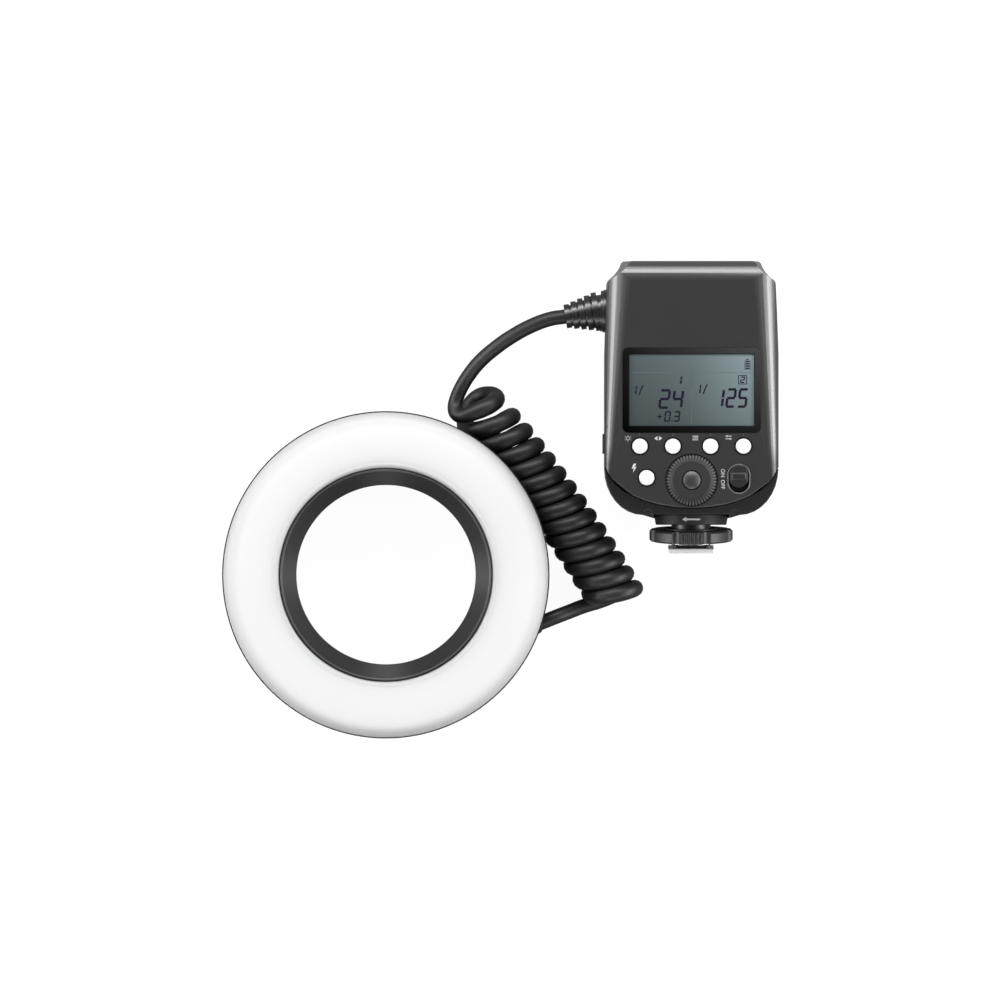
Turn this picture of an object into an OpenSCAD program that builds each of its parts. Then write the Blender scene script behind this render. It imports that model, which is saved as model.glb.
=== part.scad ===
// Macro ring flash: a ring lamp head, a control unit with a display, and the curly cord between them.
// It lies on its back on a table with +Z up, the ring's lamp side and the display facing up.
// The origin is under the middle of the ring head and control unit. All sizes are in millimetres.

/* [Layout] */
// Width across the ring head and the control unit
overall_w = 226.6; // [218:0.2:240]
// Length from the ring's lower edge to the control unit's top edge
overall_h = 194.5; // [188:0.5:206]

/* [Ring head] */
// Outer diameter of the ring at its rim
ring_d = 133.5; // [129:0.5:138]
// Height of the ring head over the table
ring_h = 35; // [34:0.5:40]
// Diameter of the housing below its flared rim
ring_body_d = 116.6; // [114:0.2:118]
// Wall of the ring's moulded pieces
ring_wall = 2; // [1.6:0.1:2.4]
// Diameter of the clear hole through the ring
ring_hole_d = 73.2; // [68:0.2:75]
// Outer diameter of the black inner bezel
bezel_d = 86.2; // [84:0.2:90]
// Height of the bezel's cone
bezel_cone_h = 9; // [6:0.5:10]
// Height of the white diffuser over the rim
diffuser_h = 7.2; // [6:0.2:8]
// Width of the rounded edge of the diffuser
diffuser_edge = 5; // [3:0.5:6]
// Diameter of the bore for the lens adapter
mount_bore_d = 80; // [77:0.5:81]
// Length of that bore
mount_bore_l = 6; // [5:0.5:7]
// Wall of the lens mount ring
mount_wall = 4; // [3:0.5:4.5]
// Thickness of a release slider
slider_t = 2; // [1.6:0.1:2.2]
// Travel of a release slider
slider_travel = 1.5; // [1:0.1:2]
// How far a slider's claw reaches into the bore
claw_reach = 1; // [0.6:0.1:1.4]
// Share of the reflector's width that a flash tube takes
tube_share = 0.64; // [0.5:0.02:0.68]

/* [Control unit] */
// Width of the control unit
unit_w = 70.8; // [69:0.2:76]
// Length of the body from the foot's collar to the top edge
body_l = 104.7; // [102:0.2:112]
// Depth of the body from the front face to the panel
unit_d = 52; // [51:0.5:58]
// Width of the top edge between the shoulders
top_w = 55.6; // [53:0.2:58]
// Wall of the covers
wall = 2; // [1.6:0.1:2.2]
// Height of the seam between front and rear cover
seam_z = 22; // [20:0.5:24]
// Side-to-side rounding of the panel's edges
edge_rx = 8; // [6:0.5:9]
// Height of that rounding
edge_rz = 6; // [5:0.5:8]
// Rounding of the front edges
front_r = 6; // [4:0.5:6]
// Depth of the panel's round lower edge
shield_ry = 18.7; // [16:0.1:19]
// Height of the dark base skirt
skirt_top_z = 44.5; // [42:0.5:46]

/* [Panel] */
// Width of the display bezel
display_w = 56.2; // [52:0.2:57]
// Height of the display bezel
display_h = 34.6; // [30:0.2:36]
// Border of the display bezel at each side
display_border = 2.5; // [2:0.1:3.5]
// Distance of the display's middle from the collar
display_y = 52.1; // [51:0.1:60]
// Diameter of a key
key_d = 6.35; // [5.5:0.05:6.6]
// Travel of a key
key_travel = 0.8; // [0.4:0.1:1]
// How far a key stands over the panel
key_proud = 0.8; // [0.6:0.1:1.4]
// Distance of the key row from the collar
key_y = 29.3; // [28.8:0.1:30]
// Distance between the two inner keys
key_inner = 15.3; // [14:0.1:16]
// Distance between the two outer keys
key_outer = 42.1; // [40:0.1:44]
// Diameter of the dial
dial_d = 21; // [18:0.2:21.4]
// Number of ridges round the dial
dial_ridges = 48; // [24:1:60]
// Diameter of the key in the dial
set_d = 7.5; // [6.5:0.1:7.8]
// Distance of the dial from the collar
dial_y = 15.5; // [15:0.1:16]
// Width of the slide switch's slot
slot_w = 7.8; // [7:0.1:8]
// Length of that slot
slot_l = 11.6; // [11:0.1:12]
// Travel of the slide switch
switch_travel = 2.1; // [1.6:0.1:2.4]

/* [Battery] */
// Length of the battery pack into the body
battery_l = 47; // [42:0.5:48]
// Height of the battery pack along the body
battery_h = 42; // [38:0.5:43]
// Thickness of the battery pack
battery_t = 24; // [20:0.5:24.5]

/* [Foot] */
// Tilt of the foot's axis below the panel's plane
foot_tilt = 5; // [0:0.5:7]
// Height of the foot's axis over the table
foot_z = 26; // [25:0.5:27]
// Radius of the collar at the body
collar_r = 15.2; // [14:0.1:15.5]
// How far the collar stands out of the body
collar_h = 2.7; // [2.3:0.1:3.5]
// Radius of the lock wheel
wheel_r = 17; // [16:0.1:18]
// Thickness of the lock wheel
wheel_t = 4.9; // [4:0.1:5.5]
// Radius of the spindle
spindle_r = 8; // [7.9:0.05:8.5]
// Travel of the clamp when the wheel is turned to its stop
clamp_travel = 0.9; // [0.5:0.1:1]
// Width of the shoe plate
shoe_w = 18.6; // [18.4:0.05:18.6]
// Length of the shoe plate
shoe_l = 18; // [17:0.1:18]
// Thickness of the shoe plate
shoe_t = 2; // [1.9:0.05:2]
// Width of the neck over the shoe plate
shoe_neck = 12.4; // [12:0.1:12.4]
// Travel of the contact pins
contact_travel = 0.5; // [0.3:0.05:0.6]

/* [Cord] */
// Diameter of the cord
cord_d = 6.2; // [5.8:0.1:6.3]
// Radius of the curls at the cord's middle
curl_r = 8.6; // [8.4:0.1:9]
// Number of whole turns from the first right-hand bend to the last
curls = 13; // [8:1:13]

/* [Hidden] */

$fn = 64;
// Points on a rounded corner of an outline
arc_n = 8;
// Reach of a cutting block past what it cuts
past = 1;
// Gap between pieces that slide or press past each other
run_gap = 0.3;
// Gap between fitted pieces of one body
fit_gap = 0.05;

// Where the ring's middle and the body's lower end lie
ring_x = -overall_w / 2 + ring_d / 2;
ring_y = -overall_h / 2 + ring_d / 2;
unit_x = overall_w / 2 - unit_w / 2;
unit_y = overall_h / 2 - body_l;

// Levels in the ring head, from the table up
slider_lo = mount_bore_l + run_gap;
slider_hi = slider_lo + slider_t + run_gap;
bezel_z = slider_hi + slider_t + run_gap;
board_t = 1.6;
lamp_board_z = bezel_z + ring_wall;
tray_z = lamp_board_z + board_t;
tray_wall = 1.4;
tray_floor = tray_z + tray_wall;
rim_z = ring_h - diffuser_h;
rim_edge = 1.7;
// Radii in the ring head
ring_r = ring_d / 2;
ring_body_r = ring_body_d / 2;
hole_r = ring_hole_d / 2;
bezel_r = bezel_d / 2;
mount_r = mount_bore_d / 2;
mount_out_r = mount_r + mount_wall;
// Room between the lens mount and the housing's wall, shared by the flange, the sliders and the bosses
mount_room = ring_body_r - ring_wall - mount_out_r;
mount_flange_r = mount_out_r + mount_room * 0.4;
flare_z = 14.5;
flare_mid = [0.44, 0.6];
rim_line = 0.5;
diffuser_r = ring_r - rim_line;
diffuser_in_r = bezel_r + 0.25;
tray_in_gap = 0.7;
tray_in_r = diffuser_in_r + tray_in_gap;
tray_out_r = ring_body_r - ring_wall + (diffuser_r - ring_body_r) * 0.33;
boss_r = mount_room * 0.244;
boss_path_r = ring_body_r - ring_wall - boss_r;
bezel_flange_gap = 0.5;
bezel_flange_r = ring_body_r - ring_wall - bezel_flange_gap;
tray_floor_r = boss_path_r + boss_r / 3;
ring_screw_r = boss_r * 0.4;
ring_head_r = boss_r * 0.73;
screw_r = 1.2;
screw_head_r = 2.2;
screw_head_t = 1.2;
screw_sink = 0.3;
mount_flange_w = mount_flange_r - mount_out_r;
mount_screw_r = mount_flange_w * 0.18;
mount_head_r = mount_flange_w * 0.36;
mount_head_t = 1.2;
mount_screw_path_r = mount_out_r + mount_flange_w * 0.52;
mount_screw_turn = 22.5;
mount_flange_t = 2;
slider_bore_gap = 0.8;
slider_in_r = mount_r + slider_travel + slider_bore_gap;
slider_out_r = slider_in_r + mount_room * 0.32;
slider_w = 10;
slider_pad_w = 14;
slider_pad_t = 4.6;
slider_pad_l = 2.6;
// The reflector's channel, and the tubes, holders and lamps in it
channel_in_r = tray_in_r + tray_wall;
channel_w = tray_floor_r - tray_wall / 2 - channel_in_r;
tube_r = channel_w * tube_share / 2;
tube_path_r = channel_in_r + channel_w / 2;
tube_lift = 1.5;
tube_z = tray_floor + tube_lift + tube_r;
holder_angle = 10;
holder_back_angle = 3.5;
holder_l = 5;
holder_w = channel_w * 0.86;
lamp_r = channel_w * 0.28;
lamp_t = 2.6;
lamp_step = lamp_r * 0.3;
bezel_drop = 0.8;
bezel_edge = 0.8;
tray_lip = 2.4;
diffuser_skirt = 0.6;
diffuser_t = 1.8;
diffuser_crown = 0.4;

// Where the tail goes into the ring's wall, its level and its heading there
gland_angle = -24;
gland_z = 7;
gland_turn = 201.8;
gland_r = 4.3;
gland_tip_r = 3.6;
gland_l = 5;
gland_boss_r = 4.6;
gland_boss_l = 5;
gland_plug_r = 2.6;

// The body's outline and the round lower edge of its panel
foot_flat = collar_r;
skirt_rx = 15.9;
skirt_ry = 19.1;
skirt_drop = 1.3;
skirt_z = 7;
skirt_gap = 0.25;
skirt_screw_x = 17.7;
skirt_screw_y = 2.6;
skirt_screw_r = 0.9;
skirt_head_r = 1.3;
skirt_head_t = 1;
skirt_screw_l = 9;
skirt_sink = 0.2;
shield_y = 22.9;
shield_lip = 0.4;
shield_rx = unit_w / 2 - shield_lip;
skirt_tip_y = 20.5;
side_lean = 0.9;
side_lean_y = 66;
shoulder_r = 2.6;
shoulder_drop = 9.5;
shoulder_turn = 50;
sweep_r = 14;
sweep_out = 6.2;
sweep_rise = 4.15;
sweep_end = 27;
top_edge = 0.8;
top_ry = 8;
top_rz = 6;

// Levels behind the panel, from its inner face down
panel_in = unit_d - wall;
key_flange = 0.9;
key_flange_t = 1;
key_flange_z = panel_in - run_gap - key_flange_t;
plunger_top = key_flange_z - key_travel - 0.1;
plunger_t = 0.5;
switch_t = 1.6;
key_board_top = plunger_top - plunger_t - switch_t;
key_board_z = key_board_top - board_t;
switch_box = 5;
test_x = -18.3;
test_y = 16.5;
plunger_r = 1.1;
key_spots = [
  [-key_outer / 2, key_y, 0], [-key_inner / 2, key_y, 0], [key_inner / 2, key_y, 0],
  [key_outer / 2, key_y, 0], [test_x, test_y, 0]
];
key_gap = 0.5;
key_r = key_d / 2;
dome_h = 0.35;
post_r = 1.4;
post_x = 12;
post_y = [10.9, 24];
switch_x = 19.2;
switch_y = 16;
dial_gap = 0.3;
dial_sink = 2.6;
dial_floor = unit_d - dial_sink;
dial_floor_t = 1.8;
dial_z = dial_floor + run_gap;
dial_proud = 1.4;
dial_top = unit_d + dial_proud;
dial_r = dial_d / 2;
dial_flat_r = dial_r * 0.72;
dial_boss_r = dial_r + dial_gap + 1.7;
dial_dish = 0.5;
ridge_w = 0.5;
ridge_deep = 0.5;
hub_in_r = set_d / 2 + dial_gap;
hub_r = hub_in_r + 1.2;
encoder_t = 1.4;
encoder_r = hub_r + 2.2;
hub_z = key_board_top + encoder_t + 0.1;
knob_gap = 0.25;
knob_w = slot_w - 2 * knob_gap;
knob_l = slot_l - 2 * knob_gap - switch_travel;
knob_y = switch_y + switch_travel / 2;
knob_plate = 0.45;
knob_proud = 0.9;
knob_ridge = [5.6, 2.4, 0.6];
display_sink = 1.5;
display_proud = 0.25;
display_r = 2.5;
module_back_t = 3.8;
module_edge = 0.6;
glass_sink = 0.5;
glass_gap = 0.2;
glass_w = display_w - 2 * display_border - 2 * glass_gap;
glass_h = display_h - 2 * display_border - 2 * glass_gap;
board_x = 24;
board_low_x = 14;
board_low_y = 9.2;
board_mid_y = 13.5;
board_top_y = key_y + 5;

// The battery bay and what lies round it
battery_end = unit_w / 2 - 0.1;
battery_x = battery_end - battery_l;
battery_y = 23;
battery_z = front_r + 0.2;
tray_t = 1.6;
tray_gap = 0.3;
tray_top = battery_z + battery_t + tray_gap + tray_t;
tray_x = battery_x - tray_gap - tray_t;
tray_end = unit_w / 2 - wall - 0.8;
skid_w = 4;
catch_size = [1.4, 11, 7];
catch_travel = 2;
catch_y = 8;
catch_grooves = 4;
catch_groove = 0.6;
contact_blade = [tray_gap - fit_gap, 3, 7];
capacitor_r = 12;
capacitor_l = 44;
capacitor_y = battery_y + battery_h + tray_gap + tray_t + capacitor_r + 1.6;
transformer_size = [13, 18, 15];
transformer_gap = 2.5;
transformer_y = 40;
main_board_w = 48;
main_board_y = 22;
main_board_end = 14;
main_board_size = [main_board_w, body_l - main_board_y - main_board_end, board_t];
boss_in = 7.9;
boss_x = unit_w / 2 - boss_in;
boss_low_y = 16.5;
boss_drop = 16.7;
boss_high_y = body_l - boss_drop;
body_boss_r = 2.7;
boss_bite = 12;
port_y = 30.3;
port_z = 34.4;
port_size = [8.1, 14.4];
port_t = 0.8;
port_hole = [6.6, 11.6];
port_plug = 1.2;
socket_size = [8, 9];
socket_l = 5;
socket_bore_r = 2.6;

// The strain relief on the unit's left wall
relief_y = 84.4;
relief_z = 31;
relief_tilt = 10.8;
relief_r = 8.7;
relief_flange_t = 1.1;
relief_collar_r = 8.3;
relief_plug_r = 5;
relief_rings = 5;
relief_groove = 1.3;
relief_tip_groove = 1;
relief_root_r = 7.9;
relief_tip_r = 4.9;
relief_step = 2.9;
relief_ring_t = 2.2;
relief_web = 2.4;

// Levels along the foot's axis, from the body outwards
collar_end_r = collar_r - 0.8;
foot_pocket = 1.6;
tilt_reach = collar_r * tan(foot_tilt);
wheel_hub_r = 10.4;
wheel_hub_z = collar_h + wheel_hub_r * sin(foot_tilt) + run_gap;
wheel_z = wheel_hub_z + 0.5;
wheel_end = wheel_z + wheel_t;
wheel_pads = 4;
pad_ribs = 5;
pad_rib_step = 5.5;
pad_groove_angle = 22;
pad_groove_r = 2.2;
rib_groove_r = 0.5;
wheel_edge = 0.7;
clamp_t = 0.6;
clamp_z = wheel_end + fit_gap;
clamp_r = 11.5;
spindle_end = clamp_z + clamp_t + clamp_travel;
spindle_root = 3;
neck_l = 0.9;
neck_depth = 9.8;
shoe_z = spindle_end + neck_l;
insert = [11, 8.8];
pin_r = 1;
pin_y = -3;
pin_l = shoe_t + neck_l - 0.6;
pin_z = shoe_z + shoe_t - fit_gap - pin_l;
contact_r = 0.8;
contact_spots = [[0, 0], [-4, 2.6], [4, 2.6], [-4, -2.6], [4, -2.6]];
contact_proud = 0.5;
contact_l = shoe_t + neck_l - 0.4;
contact_z = shoe_z + shoe_t + contact_proud - contact_l;

// The cord's route. The lead and the tail are points, the curls between them follow a bent axis.
cord_sides = 8;
curl_sides = 6;
curl_rings = 8;
axis_start = [-8.2, 36.3];
axis_bend = [22.6, 1.7];
axis_end = [46.8, -38.7];
axis_l = 95;
pitch_open = 8.8;
pitch_tight = 6.95;
pitch_ease = 2.5;
first_turn = -0.25;
last_turn = curls + 0.25;
lean = 0.23;
rake = 0.2;
coil_lift = 0.3;
coil_z = curl_r + cord_d / 2 + coil_lift;
loop_back = 5.5;
loop_turn = 0.2;
loop_ease = 0.2;
lead_points = [
  [12.2, 70.7, 29.4], [4.1, 66.2, 27], [-2, 61.9, 24.4], [-8.1, 56.6, 21], [-12.2, 51.7, 18.4],
  [-15.6, 46.3, 16.6], [-17.8, 41.2, 16], [-18.5, 38, 16.6], [-18, 35.6, 18], [-16.6, 34.4, 19.3]
];
tail_points = [[34.5, -43.3, 3.2], [28.5, -45.6, 4.6]];

panel_grey = [0.25, 0.25, 0.25];
skirt_black = [0.12, 0.12, 0.12];
board_green = [0.1, 0.3, 0.16];
steel = [0.75, 0.75, 0.76];
white = [0.94, 0.94, 0.93];
gilt = [0.8, 0.65, 0.3];
display_grey = [0.5, 0.56, 0.57];
cord_grey = [0.19, 0.19, 0.19];

// Points along a round corner about c, from angle a0 to angle a1
function arc(c, rx, ry, a0, a1) =
  [for (i = [0:arc_n]) let (a = a0 + (a1 - a0) * i / arc_n) [c[0] + rx * cos(a), c[1] + ry * sin(a)]];
// A half outline together with its mirror image across x = 0
function whole(half) = concat(half, [for (i = [len(half) - 1:-1:0]) [-half[i][0], half[i][1]]]);
function unit_vector(v) = v / norm(v);

// Half outline of the body seen on its panel, set in by a wall
function body_half(in) = concat(
  [[foot_flat, in]],
  arc([unit_w / 2 - skirt_rx, skirt_drop + skirt_ry], skirt_rx - in, skirt_ry - in, -90, 0),
  [[unit_w / 2 - in, side_lean_y]],
  arc(
    [unit_w / 2 - side_lean - shoulder_r, body_l - shoulder_drop], shoulder_r - in, shoulder_r - in,
    0, shoulder_turn
  ),
  arc(
    [unit_w / 2 + sweep_out, body_l + sweep_rise], sweep_r + in, sweep_r + in,
    180 + shoulder_turn, 180 + sweep_end
  ),
  [[top_w / 2 + top_edge - in, body_l - top_edge - in], [top_w / 2 - in, body_l - in]]
);
// Half outline of the panel with its round lower edge, open past the sides and the top
function shield_half(in) = concat(
  arc([0, shield_y], shield_rx - in, shield_ry - in, -88, -asin((shield_y - skirt_tip_y) / (shield_ry - in))),
  [[unit_w, skirt_tip_y], [unit_w, body_l + past]]
);
// Half cross-section of the body, width against depth
function section_half(in) = concat(
  arc([unit_w / 2 - front_r, front_r], front_r - in, front_r - in, -90, 0),
  arc([unit_w / 2 - edge_rx, unit_d - edge_rz], edge_rx - in, edge_rz - in, 0, 90)
);
// Side view of the body, length against depth
function profile(in) = concat(
  arc([front_r, front_r], front_r - in, front_r - in, 180, 270),
  arc([body_l - front_r, front_r], front_r - in, front_r - in, -90, 0),
  arc([body_l - top_ry, unit_d - top_rz], top_ry - in, top_rz - in, 0, 90),
  [[in, unit_d - in]]
);

// Distance along the coil's axis at a turn counted from the first right-hand bend; the first loop swings back
function along(t) =
  let (swing = (t - loop_turn) / loop_ease)
  pitch_tight * t + (pitch_open - pitch_tight) * pitch_ease * (1 - exp(-t / pitch_ease))
  - loop_back * exp(-swing * swing);
// Point of the coil's axis at that distance
function axis_at(s) =
  let (u = s / axis_l)
  let (flat = (1 - u) * (1 - u) * axis_start + 2 * u * (1 - u) * axis_bend + u * u * axis_end)
  [flat[0], flat[1], coil_z];
function axis_dir(s) = unit_vector(axis_at(s + 0.5) - axis_at(s - 0.5));
// Middle of the cord at a turn of the coil
function curl_at(t) =
  let (s = along(t))
  let (a = axis_dir(s))
  let (p = unit_vector(cross([0, 0, 1], a)))
  let (n = cross(a, p))
  let (q = 90 + 360 * t)
  axis_at(s) + curl_r * (cos(q) * (n + rake * a) + sin(q) * (p + lean * a));
function curl_dir(t) = unit_vector(curl_at(t + 0.01) - curl_at(t - 0.01));
// Rings of the coil, with a straight end of one cord diameter at each side
turn_steps = round((last_turn - first_turn) * curl_rings);
curl_middles = [for (i = [0:turn_steps]) curl_at(first_turn + (last_turn - first_turn) * i / turn_steps)];
coil_in = curl_middles[0] - cord_d * curl_dir(first_turn);
coil_out = curl_middles[turn_steps] + cord_d * curl_dir(last_turn);
coil_path = concat([coil_in], curl_middles, [coil_out]);
// The side wall leans in under the strain relief
side_turn = atan(side_lean / (body_l - shoulder_drop - side_lean_y));
relief_in = (relief_y - side_lean_y) * tan(side_turn);
relief_out = [-cos(side_turn), sin(side_turn), 0];
relief_dir = [-cos(relief_tilt - side_turn), -sin(relief_tilt - side_turn), 0];
relief_foot = [unit_x - unit_w / 2 + relief_in, unit_y + relief_y, relief_z];
relief_l = relief_rings * relief_step;
lead_in = relief_foot + 2 * relief_flange_t * relief_out + relief_l * relief_dir;
lead_path = concat([lead_in, lead_in + cord_d * relief_dir], lead_points, [coil_in]);
gland_dir = [cos(gland_turn), sin(gland_turn), 0];
gland_out = ring_body_r * [cos(gland_angle), sin(gland_angle)];
gland_root = [ring_x + gland_out[0], ring_y + gland_out[1], gland_z];
tail_out = gland_root - (gland_boss_l + gland_l) * gland_dir;
tail_path = concat([coil_out], tail_points, [tail_out - cord_d * gland_dir, tail_out]);
// The least gap of the coil to itself, between rings more than half a turn apart
coil_gap = min([
  for (i = [0:turn_steps], j = [i + curl_rings / 2:1:turn_steps]) norm(curl_middles[i] - curl_middles[j])
]) - cord_d;
echo("least gap of the coil to itself", coil_gap);

module ring_at() translate([ring_x, ring_y, 0]) children();
module unit_at() translate([unit_x, unit_y, 0]) children();
module foot_at() unit_at() translate([0, 0, foot_z]) rotate([90 + foot_tilt, 0, 0]) children();
module disc(r, z0, z1) translate([0, 0, z0]) cylinder(r = r, h = z1 - z0);
module washer(r0, r1, z0, z1) difference() {
  disc(r1, z0, z1);
  disc(r0, z0 - past, z1 + past);
}
module slab(x, y, z0, z1) translate([-x / 2, -y / 2, z0]) cube([x, y, z1 - z0]);
module round_slab(x, y, r, z0, z1) {
  corner = whole(concat(
    arc([x / 2 - r, -y / 2 + r], r, r, -90, 0),
    arc([x / 2 - r, y / 2 - r], r, r, 0, 90)
  ));
  translate([0, 0, z0]) linear_extrude(z1 - z0) polygon(corner);
}
// A slot shape with round ends, its length along y
module stadium(w, l, z0, z1) {
  translate([0, (l - w) / 2, 0]) disc(w / 2, z0, z1);
  translate([0, -(l - w) / 2, 0]) disc(w / 2, z0, z1);
  slab(w, l - w, z0, z1);
}
// A screw that points up, its head at the bottom
module screw(r, head_r, head_t, z0, z1) {
  difference() {
    disc(head_r, z0, z0 + head_t);
    translate([0, 0, z0 + head_t / 2]) slab(2 * head_r + past, head_r / 3, -head_t, 0);
  }
  disc(r, z0 + head_t, z1);
}

// A tube along points; its first and last ring stand square to the given directions
module tube(path, r, sides, dir0, dir1, ref) {
  last = len(path) - 1;
  rings = [for (i = [0:last])
    let (d = i == 0 ? dir0 : i == last ? dir1 : unit_vector(path[i + 1] - path[i - 1]))
    let (u = unit_vector(cross(d, ref)))
    let (v = cross(d, u))
    for (k = [0:sides - 1]) path[i] + r * (cos(360 * k / sides) * u + sin(360 * k / sides) * v)
  ];
  sleeve = [for (i = [0:last - 1], k = [0:sides - 1])
    let (a = i * sides + k)
    let (b = i * sides + (k + 1) % sides)
    each [[a, a + sides, b], [b, a + sides, b + sides]]
  ];
  base = last * sides;
  cap0 = [for (k = [1:sides - 2]) [0, k, k + 1]];
  cap1 = [for (k = [1:sides - 2]) [base, base + k + 1, base + k]];
  polyhedron(rings, concat(sleeve, cap0, cap1));
}

// The ring head

module ring_housing() color(skirt_black) ring_at() {
  lip = ring_r - rim_line;
  flare = [lip - ring_body_r, rim_z - rim_edge - flare_z];
  mid = [ring_body_r + flare_mid[0] * flare[0], flare_z + flare_mid[1] * flare[1]];
  shell = [
    [mount_out_r + fit_gap, 0], [ring_body_r - ring_wall, 0], [ring_body_r, ring_wall],
    [ring_body_r, flare_z],
    mid, [lip, rim_z - rim_edge - rim_line], [ring_r, rim_z - rim_edge], [ring_r, rim_z],
    [lip - ring_wall, rim_z], [lip - ring_wall, rim_z - rim_edge], [mid[0] - ring_wall, mid[1] + rim_line],
    [ring_body_r - ring_wall, flare_z + rim_line], [ring_body_r - ring_wall, ring_wall],
    [mount_out_r + fit_gap, ring_wall]
  ];
  difference() {
    union() {
      rotate_extrude($fn = 96) polygon(shell);
      at_ring_screws() disc(boss_r, ring_wall / 2, bezel_z);
      difference() {
        gland_frame() disc(gland_boss_r, -2 * gland_boss_r, gland_boss_l);
        disc(ring_body_r - ring_wall, -past, flare_z);
      }
    }
    gland_frame() disc(gland_plug_r + fit_gap, -3 * gland_boss_r, gland_boss_l + past);
    at_ring_screws() {
      disc(ring_screw_r + fit_gap, -past, bezel_z + past);
      disc(ring_head_r + fit_gap, -past, screw_sink + screw_head_t);
    }
    at_mount_screws() {
      disc(mount_screw_r + fit_gap, -past, ring_wall + past);
      disc(mount_head_r + fit_gap, -past, mount_head_t);
    }
    slider_slot(slider_lo, 1);
    slider_slot(slider_hi, -1);
  }
}

// The four screws through the ring, and the four of its lens mount
module at_ring_screws() for (k = [0:3]) rotate(45 + 90 * k) translate([boss_path_r, 0, 0]) children();
module at_mount_screws()
  for (k = [0:3]) rotate(mount_screw_turn + 90 * k) translate([mount_screw_path_r, 0, 0]) children();

// Frame of the cord's gland, its axis pointing out of the ring
module gland_frame()
  translate(gland_root - [ring_x, ring_y, 0]) rotate([0, 90, gland_turn - 180]) children();

// The hole in the housing's wall for a slider's arm
module slider_slot(z, side)
  translate([side * ring_body_r, 0, 0])
    slab(4 * ring_wall, slider_w + 2 * run_gap, z - run_gap, z + slider_t + run_gap);

module lens_mount_ring() color(skirt_black) ring_at() difference() {
  union() {
    washer(mount_r, mount_out_r, 0, mount_bore_l);
    washer(mount_r, mount_flange_r, ring_wall, ring_wall + mount_flange_t);
  }
  at_mount_screws() disc(mount_screw_r + fit_gap, 0, ring_wall + mount_flange_t - screw_sink);
}

module mount_screws() color(steel) ring_at() {
  tip = ring_wall + mount_flange_t - 2 * screw_sink;
  at_mount_screws() screw(mount_screw_r, mount_head_r, mount_head_t - screw_sink, screw_sink, tip);
}

// A release slider: a ring plate, an arm out to its pad, and a claw at the far side
module slider(z, side) mirror([side < 0 ? 1 : 0, 0, 0]) {
  pad_x = ring_body_r + slider_travel + run_gap;
  pad_mid = z + slider_t / 2;
  washer(slider_in_r, slider_out_r, z, z + slider_t);
  translate([(slider_in_r + 1 + pad_x) / 2, 0, 0]) slab(pad_x - slider_in_r, slider_w, z, z + slider_t);
  translate([pad_x + slider_pad_l / 2, 0, 0])
    slab(slider_pad_l, slider_pad_w, pad_mid - slider_pad_t / 2, pad_mid + slider_pad_t / 2);
  translate([-(mount_r - claw_reach + slider_in_r + 1) / 2, 0, 0])
    slab(slider_in_r + 1 - mount_r + claw_reach, slider_w, z, z + slider_t);
}

module release_slider_right() color(panel_grey) ring_at() slider(slider_lo, 1);

module release_slider_left() color(panel_grey) ring_at() slider(slider_hi, -1);

module inner_bezel() color(skirt_black) ring_at() {
  top = ring_h - bezel_drop;
  cone_z = top - bezel_cone_h;
  shape = [
    [hole_r, bezel_z], [bezel_flange_r, bezel_z], [bezel_flange_r, lamp_board_z],
    [hole_r + ring_wall, lamp_board_z], [hole_r + ring_wall, cone_z - bezel_edge],
    [bezel_r, top - 2 * bezel_edge], [bezel_r, top], [bezel_r - bezel_edge, top], [hole_r, cone_z]
  ];
  difference() {
    rotate_extrude($fn = 96) polygon(shape);
    at_ring_screws()
      disc(ring_screw_r + fit_gap, bezel_z - past, lamp_board_z + past);
  }
}

module lamp_board() color(board_green) ring_at() difference() {
  washer(hole_r + ring_wall + run_gap, bezel_flange_r - bezel_edge, lamp_board_z, tray_z);
  at_ring_screws()
    disc(ring_screw_r + fit_gap, lamp_board_z - past, tray_z + past);
}

module reflector_tray() color(steel) ring_at() {
  shape = [
    [tray_in_r, tray_z], [tray_floor_r, tray_z], [tray_out_r, rim_z - tray_lip - tray_wall],
    [tray_out_r, rim_z - tray_wall], [tray_out_r - tray_wall, rim_z - tray_wall],
    [tray_out_r - tray_wall, rim_z - tray_lip], [tray_floor_r - tray_wall / 2, tray_floor],
    [tray_in_r + tray_wall, tray_floor], [tray_in_r + tray_wall, rim_z - diffuser_skirt],
    [tray_in_r, rim_z - diffuser_skirt]
  ];
  difference() {
    rotate_extrude($fn = 96) polygon(shape);
    at_ring_screws()
      disc(ring_screw_r + fit_gap, tray_z - past, tray_floor + past);
  }
}

// Half a ring of glass tube, its middle at the given angle
module tube_arc(r, mid, half)
  rotate(mid - half) translate([0, 0, tube_z]) rotate_extrude(angle = 2 * half, $fn = 96)
    translate([tube_path_r, 0]) circle(r = r, $fn = 32);

module flash_tube_left() color(white) ring_at() tube_arc(tube_r, 180, 90 - holder_angle);

module flash_tube_right() color(white) ring_at() tube_arc(tube_r, 0, 90 - holder_angle);

module tube_holders() color(white) ring_at() for (side = [0, 180]) {
  difference() {
    for (end = [-1, 1]) rotate(side + end * (90 - holder_angle - holder_back_angle))
      translate([tube_path_r, 0, 0]) slab(holder_w, holder_l, tray_floor, tube_z);
    tube_arc(tube_r + fit_gap, side, 90);
  }
}

module modelling_lamps() color(white) ring_at()
  for (turn = [90, 270]) rotate(turn) translate([tube_path_r, 0, 0]) {
    disc(lamp_r, tray_floor, tray_floor + lamp_t);
    disc(lamp_r - lamp_step, tray_floor + lamp_t, tray_floor + lamp_t + lamp_step);
  }

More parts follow.
